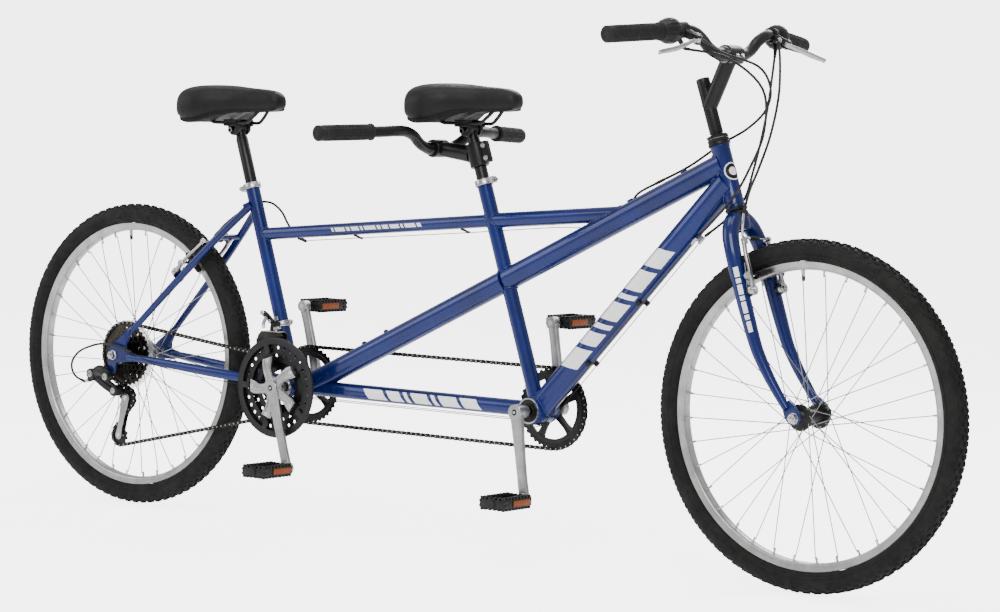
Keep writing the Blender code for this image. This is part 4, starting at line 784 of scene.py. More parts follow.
def rim(name, centre, body):
    """The extrusion with its brake line, the spoke nipples in their eyelets, and the valve."""
    p = Piece(name + "_rim_extrusion", "chrome")
    half = [(286.8, 10), (287, 12.2), (286.2, 12.7), (285, 12.4), (274.5, 12.2), (273.2, 11.6),
        (271.6, 8.5), (270.8, 4)]
    prof = half + [(270.6, 0)] + [(r, -y) for r, y in reversed(half)] + [(279, -6), (279, 6)]
    p.lathe(prof, centre, steps=180, mat="rim")
    for side in (-1, 1):
        mark = [(275.2, 12.1), (275.2, 12.45), (275.7, 12.45), (275.7, 12.1)]
        p.lathe(mark, centre, steps=180, mat="satin_alloy", hand=side)
    for k in range(SPOKES):
        out = radial(TAU * (k + 0.5) / SPOKES)
        at = centre + out * 271.2 + Y * (2.2 if k % 2 else -2.2)
        p.pin(at, out, -11, 0, 1.8, 10, 2.4)
        p.pin(at, out, -0.6, 1, 3.4, 14, mat="alloy")
    out = radial(TAU / SPOKES + radians(85))
    at = centre + out * 271
    p.pin(at, out, -14, 0, 2.8, 16, 3.8)
    p.pin(at, out, -21, -12, 3.1, 16, 3.7, 0.8, "black_plastic")
    p.make(body, name + "_rim")


def spoke_set(p, centre, flange_y, flange_r, hand):
    """Half the spokes, of one side, laced three-cross, half of them leading and half trailing."""
    for k in range(SPOKES // 2):
        leads = k % 2
        turn = TAU * (2 * k + (0.5 if hand > 0 else 1.5)) / SPOKES
        foot_at = centre + radial(turn + radians(58 if leads else -58)) * flange_r + Y * flange_y
        head = Y * (2.2 if leads else -1) * hand
        foot, rim_at = foot_at + head, centre + radial(turn) * 264 + Y * 2.2 * hand
        bow = foot + (rim_at - foot).normalized() * 75 - Y * 1.2 * hand * leads
        p.sweep([foot, bow, rim_at], 0.95, 8, mat="spoke")
        p.rod(foot, foot_at - head, 1.2, 8, mat="spoke")
        p.pin(foot_at - head, Y, -0.5, 0.5, 2.2, 10, mat="spoke")


def hubs():
    p = Piece("front_hub_and_spokes", "black_steel")
    flange = [(5.4, 44), (8, 44), (8.8, 43), (11, 38.5), (15, 36.5), (24, 34.8), (25, 34.2), (25, 32.2),
        (24, 31.6), (15.5, 30), (13.5, 25), (12.5, 12), (12.2, 0)]
    p.lathe(flange + [(r, -y) for r, y in reversed(flange[:-1])], FRONT_AXLE)
    for hand in (RIGHT, LEFT):
        spoke_set(p, FRONT_AXLE, 33.2 * hand, 22.2, hand)
    p.make("front_wheel", "front_hub")

    p = Piece("rear_hub_and_spokes", "clear_guard")
    p.lathe([(5.4, 54), (8.5, 54), (9, 53), (10, 44), (16, 38.5), (27, 36.8), (27.8, 36), (27.8, 34.2),
        (27, 33.6), (18, 31.8), (16, 25), (15.2, 8), (16, -13), (18.5, -17), (27, -18.6), (27.8, -19.2),
        (27.8, -20.8), (27, -21.4), (20, -23.5), (5.4, -24)], REAR_AXLE, mat="alloy")
    for hand, y in ((RIGHT, 19.8), (LEFT, 35)):
        spoke_set(p, REAR_AXLE, y * hand, 24.8, hand)
    p.lathe([(21, -26.2), (74, -24.6), (74.8, -25.2), (74, -26), (21, -27.4)], REAR_AXLE, steps=96)
    for k in range(6):
        p.pin(REAR_AXLE + radial(TAU * k / 6) * 66, Y, -26.2, -21.2, 2.4, 12)
    p.make("rear_wheel", "rear_hub")

    # inner and outer ends of the nuts, then each side's cone inside them: (right, left), outer end
    for name, body, centre, inner, outer, cones, cone_end in (
            ("front", "steering", FRONT_AXLE, 56.3, 68, (44.4, 44.4), 49.9),
            ("rear", "frame", REAR_AXLE, 73.8, 86, (62, 54.5), 67)):
        p = Piece(name + "_axle_and_nuts", "chrome")
        p.pin(centre, Y, -outer, outer, 4.7, ends=0.7)
        for hand, cone in zip((RIGHT, LEFT), cones):
            face, side = centre + Y * inner * hand, Y * hand
            washer = [(4.9, 0.2), (10.5, 0.2), (10.8, 0.8), (10.5, 1.4), (4.9, 1.4)]
            p.lathe(washer, face, steps=36, hand=hand)
            p.pin(face, side, 1.5, outer - inner - 3.4, 9.6, 6, 9)
            p.pin(centre, side, cone, cone_end, 8.2, 6)
        p.make(body, name + "_axle")


for end, at, wheel_body in (("front", FRONT_AXLE, "front_wheel"), ("rear", REAR_AXLE, "rear_wheel")):
    tyre(end, at, wheel_body)
    rim(end, at, wheel_body)
hubs()


# ---------------------------------------------------------------- drivetrain
PITCH = 12.7
DRIVE_Y, SPROCKET_Y, TIMING_Y = -42.5, -32, 45
MID_Y, BIG_Y, GUARD_Y = -50, -57.5, -64
REAR_ANGLE, FRONT_ANGLE = radians(-72.5), radians(-79.6)
SMALL_RING, MIDDLE_RING, BIG_RING, TIMING, JOCKEY = 28, 38, 48, 40, 11
SPROCKETS, SPROCKET_HOLES = (34, 28, 24, 21, 18, 16, 14), (10, 8, 7)
UNDER_CHAIN = 1.8
TOOTH = (-2.2, -1.2, 1.2, 2, 1.2, -1.2)
GUIDE, TENSION = S(4.5, 233.5, SPROCKET_Y), S(-15, 150, SPROCKET_Y)


def pr(teeth):
    """The pitch radius of a ring with so many teeth."""
    return teeth * PITCH / TAU


def belt(circles):
    """The closed chain line round circles of (centre, radius, sense, y), as points a few millimetres apart."""
    count, headings, line = len(circles), [], []
    for i in range(count):
        (c0, r0, s0, _), (c1, r1, s1, _) = circles[i], circles[(i + 1) % count]
        run = c1 - c0
        headings.append(atan2(run.z, run.x) - asin((s1 * r1 - s0 * r0) / hypot(run.x, run.z)))
    for i, (centre, radius, sense, y) in enumerate(circles):
        start, end = headings[i - 1], headings[i]
        turn = (end - start) % TAU if sense > 0 else -((start - end) % TAU)
        steps = max(3, round(abs(turn) / radians(4)))
        for k in range(steps + 1):
            h = start + turn * k / steps
            line.append(Vector((centre.x, y, centre.z)) - Vector((-sin(h), 0, cos(h))) * radius * sense)
    return line


def even(line, step):
    """Points along a closed line at equal distances, as near to step as fits a whole even number."""
    loop = line + [line[0]]
    total = sum((b - a).length for a, b in zip(loop, loop[1:]))
    count = round(total / step / 2) * 2
    out, walked, target = [], 0, 0
    for a, b in zip(loop, loop[1:]):
        length = (b - a).length
        while length and target < walked + length - 1e-09 and len(out) < count:
            out.append(a.lerp(b, (target - walked) / length))
            target += total / count
        walked += length
    return out


def chain(name, circles, node):
    """Roller chain: pins and rollers with inner and outer figure-eight plates in turn."""
    p = Piece(name, "chain")
    pins = even(belt(circles), PITCH)
    for k, (a, b) in enumerate(zip(pins, pins[1:] + pins[:1])):
        fwd, gap = (b - a).normalized(), (b - a).length
        side = (Y - fwd * fwd.dot(Y)).normalized()
        up = fwd.cross(side)
        wide = 3 if k % 2 else 1.9
        outline = []
        for start, at, waist in ((pi / 2, 0, -2.9), (-pi / 2, gap, 2.9)):
            turns = [start + pi * i / 4 for i in range(5)]
            outline += [(at + cos(t) * 3.6, sin(t) * 4) for t in turns] + [(gap / 2, waist)]
        for hand in (-1, 1):
            p.rings([[a + fwd * u + up * v + side * (wide * hand + d) for u, v in outline]
                for d in (-0.4, 0.4)])
        p.pin(a, side, -1.6, 1.6, 3.8, 10)
        p.pin(a, side, -3.7, 3.7, 1.6, 8, mat="satin_alloy")
    p.make("frame", node, angle=25)


def ring_disc(p, centre, y, half, outer, inner, teeth=0, holes=0, hole_r=0, hole_at=0, mat=None):
    """A flat ring with round or toothed rim and a row of round holes, from a triangle-filled outline."""
    bm = bmesh.new()

    def loop(points):
        vs = [bm.verts.new((u, half, v)) for u, v in points]
        for a, b in zip(vs, vs[1:] + vs[:1]):
            bm.edges.new((a, b))

    def round_loop(count, r, x=0, z=0):
        loop([(x + cos(TAU * k / count) * r, z + sin(TAU * k / count) * r) for k in range(count)])

    n = teeth * 6 if teeth else 96
    heights = [outer + (TOOTH[k % 6] if teeth else 0) for k in range(n)]
    loop([(cos(TAU * k / n) * r, sin(TAU * k / n) * r) for k, r in enumerate(heights)])
    round_loop(64, inner)
    spots = [radial(TAU * (j + 0.5) / holes) * hole_at for j in range(holes)]
    for spot in spots:
        round_loop(14, hole_r, spot.x, spot.z)
    bmesh.ops.triangle_fill(bm, edges=bm.edges[:], use_beauty=True)
    bmesh.ops.delete(bm, geom=[f for f in bm.faces if hypot(*f.calc_center_median().xz) < inner * 0.985],
        context="FACES")
    for spot in spots:
        def away(point):
            return hypot(point.x - spot.x, point.z - spot.z)
        bmesh.ops.delete(bm, geom=[f for f in bm.faces if away(f.calc_center_median()) < hole_r * 0.93
            and all(away(v.co) < hole_r * 1.02 for v in f.verts)], context="FACES_ONLY")
    grown = bmesh.ops.extrude_face_region(bm, geom=bm.faces[:])
    bmesh.ops.translate(bm, verts=[v for v in grown["geom"] if isinstance(v, bmesh.types.BMVert)],
        vec=(0, -2 * half, 0))
    bmesh.ops.translate(bm, verts=bm.verts, vec=centre + Y * y)
    p.add(bm, mat)


def arm(p, centre, angle, hand, inner_y):
    """A forged crank arm: a flattened oval section with a raised rib, its spindle bolt and pedal axle."""
    out, side = radial(angle), Y * hand
    cross = out.cross(Y)
    spine = smooth([centre + out * d + side * y for d, y in ((-4, 72), (12, 72.5), (50, 75.5),
        (120, 79.5), (160, 80.8), (172, 81))], 6)
    size = smooth([Vector((w, t, 0)) for w, t in ((15.2, 8.5), (14.2, 8), (12.2, 6.8), (10.6, 6),
        (11.2, 6.2), (11.4, 6.2))], 6)
    rings = []
    for q, w in zip(spine, size):
        rings.append([])
        for _, s, u, v in oval(20, 0.6):
            dent = 1.6 * max(0, 1 - (u / 0.55) ** 2) if s * hand > 0.5 else 0
            rings[-1].append(q + cross * u * w.x + Y * (v * w.y - dent * hand))
    p.rings(rings)
    for along, r, y in ((0, 15.8, 72), (CRANK, 12.2, 81)):
        boss = [(5, y - 8.8), (r - 1, y - 8.8), (r, y - 7.8), (r, y + 7.6), (r - 1, y + 8.6),
            (6.2, y + 8.6), (6.2, y + 4), (5, y + 4)]
        p.lathe(boss, centre + out * along, steps=40, hand=hand)
    p.lathe([(7.8, inner_y), (12, inner_y), (14, 64), (7.8, 64)], centre, steps=32, hand=hand)
    hub, eye = centre + side * 74.5, centre + out * CRANK
    p.pin(hub, side, 0, 5, 7, r2=6.6, ends=0.6, mat="black_plastic")
    p.pin(hub, side, 4, 6.2, 2.6, 6, mat="chrome")
    for low, high, r, sides in ((72, 89.5, 5.2, 20), (90.2, 93.5, 8.5, 8), (88.5, 181.5, 4.3, 16)):
        p.pin(eye, side, low, high, r, sides, mat="chrome")


def five(angle):
    """The directions of five arms about a crank set, clear of its crank."""
    return [radial(angle + radians(36 + 72 * k)) for k in range(5)]


def spider(p, centre, angle):
    """Five curved ribbed arms from the right crank to the chainrings, with their bolts."""
    for out in five(angle):
        cross = out.cross(Y)
        path = smooth([centre + out * d + Y * y + cross * c for d, y, c in ((6, -70.5, 0),
            (22, -71.5, 2.75), (40, -70.5, 4.95), (54, -69, 2.75), (64, -68, 0))], 4)
        widths = [13.6 - 3.4 * sin(pi * min(1, i / 12)) for i in range(len(path))]
        p.rings([[q + cross * u * w + Y * v * 3.6 for _, _, u, v in oval(14, 0.5, 0.7)]
            for q, w in zip(path, widths)])
        for edge in (-0.64, 0.64):
            p.sweep([q + cross * edge * w - Y * 3 for q, w in zip(path, widths)],
                [1] + [2.6] * (len(path) - 2) + [1], 12)
        end = centre + out * 58
        p.bolt(end - Y * 71.6, -Y, 4.2, 2.2, False, "chrome")
        p.pin(end, Y, -69, -50.5, 4.6, 16)


def chains():
    chain("timing_chain_links", [(c, pr(TIMING), 1, TIMING_Y) for c in (FRONT_BB, REAR_BB)], "timing_chain")
    chain("drive_chain_links", [(REAR_BB, pr(SMALL_RING), 1, DRIVE_Y), (REAR_AXLE, pr(SPROCKETS[0]), 1, SPROCKET_Y),
        (GUIDE, pr(JOCKEY), -1, SPROCKET_Y), (TENSION, pr(JOCKEY), 1, SPROCKET_Y)], "drive_chain")


def chainrings():
    p = Piece("chainring_set", "black_steel")
    ring_disc(p, REAR_BB, DRIVE_Y, 1, pr(SMALL_RING) - UNDER_CHAIN, 36, SMALL_RING)
    for y, teeth, inner, holes, rim_width in ((MID_Y, MIDDLE_RING, 52, 20, 10),
                                              (BIG_Y, BIG_RING, 70.5, 30, 13.5)):
        ring_disc(p, REAR_BB, y, 1, pr(teeth), inner, teeth, holes, 3.6, pr(teeth) - rim_width)
    ring_disc(p, REAR_BB, GUARD_Y, 1.2, 104.8, 91, mat="black_plastic")
    p.lathe([(101, -1), (104, -2.4), (105, 0), (104, 1.8), (101, 0.8)], REAR_BB + Y * GUARD_Y, steps=96,
        mat="black_plastic")
    for out in five(REAR_ANGLE):
        for dist, y0, y1 in ((40, -42, -49.5), (61, -49.2, -57), (77, -57, -64.5)):
            p.pin(REAR_BB + out * dist, Y, y0, y1, 4.6, 16)
        p.box(REAR_BB + out * 83.5 + Y * GUARD_Y, (20, 2.6, 13), out, mat="black_plastic")
        p.box(REAR_BB + out * 59.5 + Y * BIG_Y, (36, 1.8, 17), out, bevel=0.6)
        p.box(REAR_BB + out * 47 + Y * MID_Y, (24, 1.8, 15), out, bevel=0.6)
    p.make("rear_cranks", "drive_chainrings")


def crank_sets():
    for end, centre, angle in (("rear", REAR_BB, REAR_ANGLE), ("front", FRONT_BB, FRONT_ANGLE)):
        p = Piece(end + "_right_crank_arm", "satin_alloy")
        arm(p, centre, angle, RIGHT, 48 if end == "rear" else 44)
        p.pin(centre, Y, -70, 47.8, 8.4, mat="chrome")
        if end == "rear":
            spider(p, centre, angle)
            p.lathe([(15, -73.5), (23.5, -72.8), (24.5, -70), (23.5, -67.2), (15, -66)], centre)
        p.make(end + "_cranks", end + "_right_crank")

        p = Piece(end + "_left_crank_and_timing_ring", "satin_alloy")
        arm(p, centre, angle + pi, LEFT, 48)
        ring_disc(p, centre, TIMING_Y, 1.1, pr(TIMING) - UNDER_CHAIN, 64, TIMING, mat="black_steel")
        middle = centre + Y * TIMING_Y
        p.lathe([(61, 2.5), (70, 2.5), (71.2, 1.2), (71.2, -1.2), (70, -2.5), (61, -2.5)], middle, steps=96,
            mat="black_plastic")
        p.lathe([(8.6, -3), (22, -3), (23, -2), (23, 5), (19, 11), (15, 19), (8.6, 19)], middle,
            mat="black_plastic")
        section = [(-1, -1), (-1, -0.55), (-0.4, -0.3), (-0.4, 0.3), (-1, 0.55), (-1, 1), (1, 1),
            (1, 0.55), (0.4, 0.3), (0.4, -0.3), (1, -0.55), (1, -1)]
        for out in five(angle):
            p.sweep([middle + out * d for d in (18, 30, 45, 56, 65.5)], [1, 0.86, 0.8, 0.95, 1.3],
                section=[(u * 2.2, v * 8.5) for u, v in section], mat="black_plastic")
        p.make(end + "_cranks", end + "_left_crank")


def freewheel():
    p = Piece("sprocket_cluster", "sprocket")
    for number, teeth in enumerate(SPROCKETS):
        at, r = REAR_AXLE + Y * (SPROCKET_Y - number * 5), pr(teeth)
        if number < len(SPROCKET_HOLES):
            ring_disc(p, at, 0, 0.85, r if number else r - UNDER_CHAIN, r - 17, teeth,
                SPROCKET_HOLES[number], 3.6, r - 12.5)
            for k in range(6):
                out = radial(TAU * k / 6 + number * 0.2)
                p.box(at + out * (r * 0.5 + 4), (r - 26, 1.6, 8), out, bevel=0.3)
        else:
            ring_disc(p, at, 0, 0.85, r, 22.5, teeth)
        if number:
            spacer = [(23, 1.2), (25.2, 1.2), (25.2, 4.2), (23, 4.2)]
            p.lathe(spacer, at, steps=40, mat="black_plastic")
    p.lathe([(5.6, -29.8), (19, -29.8), (22.6, -31), (22.6, -62.2), (18, -64), (15, -64.5), (14, -63),
        (5.6, -63)], REAR_AXLE, mat="satin_alloy")
    p.make("freewheel", "freewheel")


def jockey_wheels():
    for name, centre in (("guide", GUIDE), ("tension", TENSION)):
        p = Piece(name + "_jockey_wheel", "black_plastic")
        ring_disc(p, centre, 0, 1.1, pr(JOCKEY) - 1.6, 9.8, JOCKEY)
        for hand in (-1, 1):
            cheek = [(3.2, 0.6), (10.4, 0.6), (10.4, 2), (7, 3.6), (3.2, 3.6)]
            p.lathe(cheek, centre, steps=32, hand=hand)
        p.make(name + "_pulley", name + "_pulley")


def rear_derailleur():
    p = Piece("rear_mech", "chrome")
    top, rear, pivot = S(-7, 282, -80), S(-56, 285, -76), S(-4, 248, -52)
    p.pin(top, Y, 6, -11, 10.2, 32, ends=1.2, mat="black_plastic")
    p.bolt(top - Y * 10.8, -Y, 6.2, 2.6, False, "satin_alloy")
    p.pin(top, Y, 13, 4, 4.8, 16)
    p.sweep(smooth([top + Vector((2, -2, 2)), S(-30, 293, -80), rear], 5),
        [8.5 + 2.2 * sin(pi * min(1, k / 11)) for k in range(11)], 20, 1.15, mat="black_plastic")
    p.pin(rear, Y, 10, -12, 11.8, 28, ends=1.8, mat="black_plastic")
    p.bolt(rear - Y * 11.8, -Y, 6, 2, False, "satin_alloy")
    for lift in (5.2, -5.2):
        a, b = rear + Vector((1, 1, lift)), pivot + Vector((-8, -6, lift + 4))
        p.sweep(smooth([a, a.lerp(b, 0.5) - Y * 3.5, b], 5), 1, section=flat(3.5, 6.2), mat="black_plastic")
    barrel, towards = S(-74.5, 266.8, -81.5), S(-56, 276.5, -76.5)
    p.rod(barrel, barrel.lerp(towards, 0.45), 3.6, 16, 4.2, 0.4)
    p.rod(barrel.lerp(towards, 0.4), towards, 5.8, 18, 7.2, mat="black_plastic")
    body = S(-9, 250, -59)
    p.pin(body, Y, 18, -5, 12.5, 32, ends=1.5, mat="black_plastic")
    p.pin(body, Y, -4.5, -6, 6.8, ends=0.4, mat="satin_alloy")
    for z in (288, 280):
        p.pin(S(-68, z, -74), X, 0, -6, 2.2, 12)
    axis = (GUIDE - TENSION).normalized()
    cross = axis.cross(Y)
    a, b = S(4.5, 233.5), S(-15, 150)

    def cage_end(at, r, start):
        turns = [start + pi * k / 8 for k in range(9)]
        return [at + (cross * cos(t) + axis * sin(t)) * r for t in turns]

    cage = cage_end(a, 10.5, 0) + [a.lerp(b, t) - cross * w for t, w in ((0.25, 10), (0.5, 6.5), (0.8, 6.2))]
    cage += cage_end(b, 9, pi) + [a.lerp(b, t) + cross * w for t, w in ((0.8, 6.8), (0.5, 8.5), (0.25, 10.5))]
    for y, mat in ((SPROCKET_Y + 5.8, "black_steel"), (SPROCKET_Y - 5.8, "satin_alloy")):
        p.slab(cage, y - 0.7, y + 0.7, bevel=0.3, mat=mat)
    for centre in (GUIDE, TENSION):
        p.pin(centre, Y, -7.5, 7.5, 2.4, 16)
        p.bolt(centre - Y * 6.6, -Y, 4.4, 2.4)
        p.bolt(centre + Y * 6.6, Y, 4, 1.8)
    p.sweep([TENSION + Vector((13, y, 0)) for y in (5, -5)], 1.6, 8, mat="satin_alloy")
    p.make("frame", "rear_derailleur")


def front_derailleur():
    p = Piece("front_mech", "chrome")
    up, ahead = REAR_SEAT_UP, ahead_of(REAR_SEAT_UP)
    clamp = REAR_BB + up * 133
    p.lathe(cuff(15.2, 18, 6, 0.6, 1), clamp, up, mat="alloy")
    p.box(clamp + ahead * 20.5, (8, 10, 11), ahead, bevel=1.2, mat="alloy")
    p.bolt(clamp + ahead * 24.5, ahead, 3.8, 4)
    p.box(S(428, 419.5, -24), (12, 22, 12), bevel=2.6, mat="black_steel")
    p.sweep(smooth([S(427, 424, -32), S(415, 435, -33), S(401, 444, -33.5)], 4), 1, section=flat(3, 5),
        mat="black_steel")
    p.bolt(S(401, 444, -36.5), -Y, 4.2, 4)
    p.sweep(smooth([S(416, 436, -40), S(410, 423, -42), S(412, 412, -44)], 4), 1, section=flat(1.2, 4))
    for x, z in ((421.5, 427), (432.5, 412)):
        p.pin(S(x, z), Y, -38, -12, 4.2, 20, ends=0.6)
    p.rod(S(418, 433, -13), S(412, 423, -5), 3.8, r2=3, mat="alloy")
    p.bolt(S(412, 421.5, -5.5), Vector((-1, 0, 0.2)), 4, 4)
    for x in (0, 7.5):
        p.rod(S(422.5 + x, 437, -23), S(424.5 + x, 429, -23), 2, 12)
    inner = ((398, 356), (399, 388), (404, 402), (418, 407.5), (466, 407.5), (474, 402), (473, 394),
        (456, 384), (440, 372), (424, 361), (410, 352))
    outer = ((400, 372), (405, 398), (414, 407.5), (466, 407.5), (474, 400), (466, 395), (446, 396),
        (426, 391), (412, 380))
    for plate, low in ((inner, -38), (outer, -53.8)):
        p.slab([S(x, z) for x, z in plate], low, low + 1.2, bevel=0.3, mat="sprocket")
    p.box(S(442, 407, -45.3), (48, 17.2, 1.4), bevel=0.4, mat="satin_alloy")
    p.box(S(429, 412, -33), (10, 12, 10), bevel=2.2, mat="black_steel")
    p.box(S(401, 384, -45.3), (1.4, 17.2, 14), bevel=0.4)
    p.make("frame", "front_derailleur")


def pedal(name, centre, angle, hand, body):
    """A moulded block pedal: two toothed rails, end plates, a ribbed core and a lens at each edge."""
    eye = centre + radial(angle) * CRANK
    p = Piece(name, "black_plastic")
    near, far, edge = 97, 187, 25.5

    def block(x, y, z, size, bevel=0.8, mat=None):
        p.box(eye + Vector((x, y * hand, z)), size, bevel=bevel, mat=mat)

    p.lathe([(5.2, near - 1), (10, near - 1), (10.8, near + 4), (8.6, near + 20), (8, near + 60),
        (9.8, far - 8), (9.8, far), (5.2, far)], eye, steps=32, hand=hand)
    p.pin(eye, Y * hand, far - 0.5, far + 1.2, 7.5)
    for away in (-1, 1):
        x = edge * away
        block(x, 142, 0, (8, 88, 17), 1.8)
        for z in (-10, 10):
            for k in range(9):
                block(x, 102 + 10 * k, z, (7.6, 5, 7), 1.4)
        x += 4 * away
        for y in (104, 180):
            for z in (-4.5, 4.5):
                block(x, y, z, (2.4, 12, 5))
        block(x, 130, 0, (2.6, 56, 14))
        # the lens, in the reflector material with its faint painted glow
        block(x + away, 130, 0, (2.4, 52, 11.6), 0.6, "orange_reflector")
    for y in (near + 6, far - 5):
        block(0, y, 0, (54, 8.5, 16), 2)
        for x in (-16, -5.5, 5.5, 16):
            for z in (-9.6, 9.6):
                block(x, y, z, (5.6, 8.2, 6.6), 1.2)
    for k in range(4):
        block(0, 114.5 + 18 * k, 0, (52, 4, 11))
    p.make(body, body)


chains()
chainrings()
crank_sets()
freewheel()
jockey_wheels()
rear_derailleur()
front_derailleur()
for end, at, lean in (("rear", REAR_BB, REAR_ANGLE), ("front", FRONT_BB, FRONT_ANGLE)):
    for side_name, hand in SIDES:
        node = f"{end}_{side_name}_pedal"
        pedal(node + "_platform", at, lean + (pi if hand == LEFT else 0), hand, node)


# ---------------------------------------------------------------- steering and bars
CAPTAIN_BAR = [(1533, 0, 993), (1533, 40, 993), (1531, 70, 1003), (1530, 95, 1020), (1530, 120, 1031),
    (1526, 145, 1034), (1518, 180, 1031.5), (1483.5, 328, 1020)]
STOKER_BAR = [(836, 0, 800), (836, 36, 801), (838, 62, 810), (843, 88, 825), (845, 115, 833),
    (842, 145, 834), (833, 180, 832), (795, 320, 827)]
REACH = Vector((0.9, 0, -0.4359))
LEVER_SEAT, PIVOT_REACH = 152, 39
SHIFT_EXIT = {RIGHT: (1530, 1000, -150), LEFT: (1535, 1000, 150)}
BRAKE_TOP = 98
# each end's brake boss on the centre plane, and how far out from it the arm's pivot is
FRONT_BOSS, FRONT_OUT, REAR_BOSS, REAR_OUT = S(1608, 552), 23.5, S(176, 507), 17
CASING_R, WIRE_R = 2.5, 0.9


def bar_point(points, hand, y):
    """The point y out on the straight end of a bar."""
    inner, outer = [S(x, z, q * hand) for x, q, z in points[-2:]]
    return inner.lerp(outer, (y - abs(inner.y)) / (abs(outer.y) - abs(inner.y)))


def bar_out(points, hand):
    """The outward direction of a bar's straight end."""
    return (bar_point(points, hand, 300) - bar_point(points, hand, 200)).normalized()


def bend_bar(name, points, thick, body, node, extra=None):
    """A handlebar tube from its left half's points, thicker where it is nearer the middle than thick."""
    p = Piece(name, "black_paint")
    half = [S(x, z, y) for x, y, z in points]
    path = smooth([Vector((q.x, -q.y, q.z)) for q in reversed(half[1:])] + half)
    p.sweep(path, [11 + 1.8 * max(0, min(1, (thick + 6 - abs(q.y)) / 10)) for q in path], 28)
    if extra:
        extra(p)
    p.make(body, node)


def lever_axes(hand):
    """The directions out along the bar, across the reach in the lever's plane, and out of that plane."""
    out = bar_out(CAPTAIN_BAR, hand)
    square = (out - REACH * out.dot(REACH)).normalized()
    return out, square, REACH.cross(square)


def lever_mounts(p):
    """Lever brackets on the captain's bar: clamp, body with pivot cheeks, bolt and cable barrel."""
    for hand in (RIGHT, LEFT):
        seat = bar_point(CAPTAIN_BAR, hand, LEVER_SEAT)
        out, square, normal = lever_axes(hand)
        p.lathe(cuff(11.2, 15.2, 9.5, 1.2, 1.5), seat, out, 36, "black_plastic")
        path = smooth([seat + REACH * d for d in (8, 17, 24, 30.8)], 4)
        rings = []
        for k, q in enumerate(path):
            t = k / (len(path) - 1)
            wide, tall = 8.8 - 2 * t, 8.5 + 0.6 * sin(pi * t) - 1.2 * t
            rings.append([q + square * u * wide + normal * v * tall for _, _, u, v in oval(20, 0.6)])
        p.rings(rings, mat="black_plastic")
        pivot = seat + REACH * PIVOT_REACH
        outline = [pivot - REACH * 13 + square * 7, pivot - REACH * 13 - square * 7]
        outline += [pivot + (REACH * sin(a) - square * cos(a)) * 7.5 for a in
            (pi * j / 10 for j in range(11))]
        for off in (-6.8, 6.8):
            p.slab(outline, off - 1.3, off + 1.3, normal, 0.4, "black_plastic")
        p.bolt(pivot + normal * 8, normal, 4, 2.2, False, "chrome")
        p.pin(pivot, normal, -8, -10, 4.2, 6, mat="chrome")
        p.bolt(seat - REACH * 14.5, -REACH, 3.6, 2.8, False, "chrome")
        barrel = seat + REACH * 27 - square * 8.5
        p.pin(barrel, square, 0, -10.5, 4.2, 16, 3.6, 0.5, "alloy")
        p.pin(barrel, square, -2, -5.2, 6, 14, ends=0.7, mat="alloy")
        p.pin(barrel, square, -10, -15, 3.2, 14, 2.8, mat="black_plastic")
        collar = bar_point(CAPTAIN_BAR, hand, 163.2)
        p.lathe([(11.2, -1.4), (15, -1.4), (16.4, 0), (16.4, 2), (11.2, 2)], collar, out, 36,
            "black_plastic")
        root, exit_end = collar + Vector((3, 0, -13.5)), S(*SHIFT_EXIT[hand])
        p.sweep(smooth([root, root.lerp(exit_end, 0.5) + Vector((1, 0, -2)), exit_end], 4),
            [5 - 1.6 * k / 8 for k in range(9)], mat="black_plastic")


def levers():
    """The brake lever blades, cupped along their length and rounded at the tip."""
    for side_name, hand in SIDES:
        p = Piece(side_name + "_lever_blade", "alloy")
        _, square, normal = lever_axes(hand)
        pivot = bar_point(CAPTAIN_BAR, hand, LEVER_SEAT) + REACH * PIVOT_REACH
        path = smooth([pivot] + [bar_point(CAPTAIN_BAR, hand, y) + REACH * d for y, d in ((160, 42),
            (172, 46), (190, 54), (205, 60), (228, 68.2), (250, 73.2), (268, 76.2), (279, 78.5),
            (282.5, 79.2))], 4)
        rings = []
        for k, q in enumerate(path):
            t = k / (len(path) - 1)
            side = normal.cross(along_at(path, k)).normalized()
            wide = 5 if t > 0.93 else 3.8 + 1.6 * max(0, 1 - abs(t - 0.55) / 0.45)
            thick = 2.4 + 1.2 * (t < 0.12)
            tip = sqrt(max(0, 1 - max(0, (t - 0.95) / 0.055) ** 2))
            across_tip, up_tip = max(tip, 0.25), max(tip, 0.4)
            rings.append([q + normal * u * wide * across_tip
                + side * (v * thick * up_tip + 1.2 * (u * across_tip) ** 2) for _, _, u, v in oval(18, 0.7)])
        p.rings(rings)
        p.lathe(cuff(2.6, 6.4, 5, 0.6, 0.6), pivot, normal, 32)
        p.box(pivot + REACH * 1.5 + square * 10.5, (9, 9, 6), square, normal, 1.4)
        p.make(side_name + "_lever", side_name + "_brake_lever")


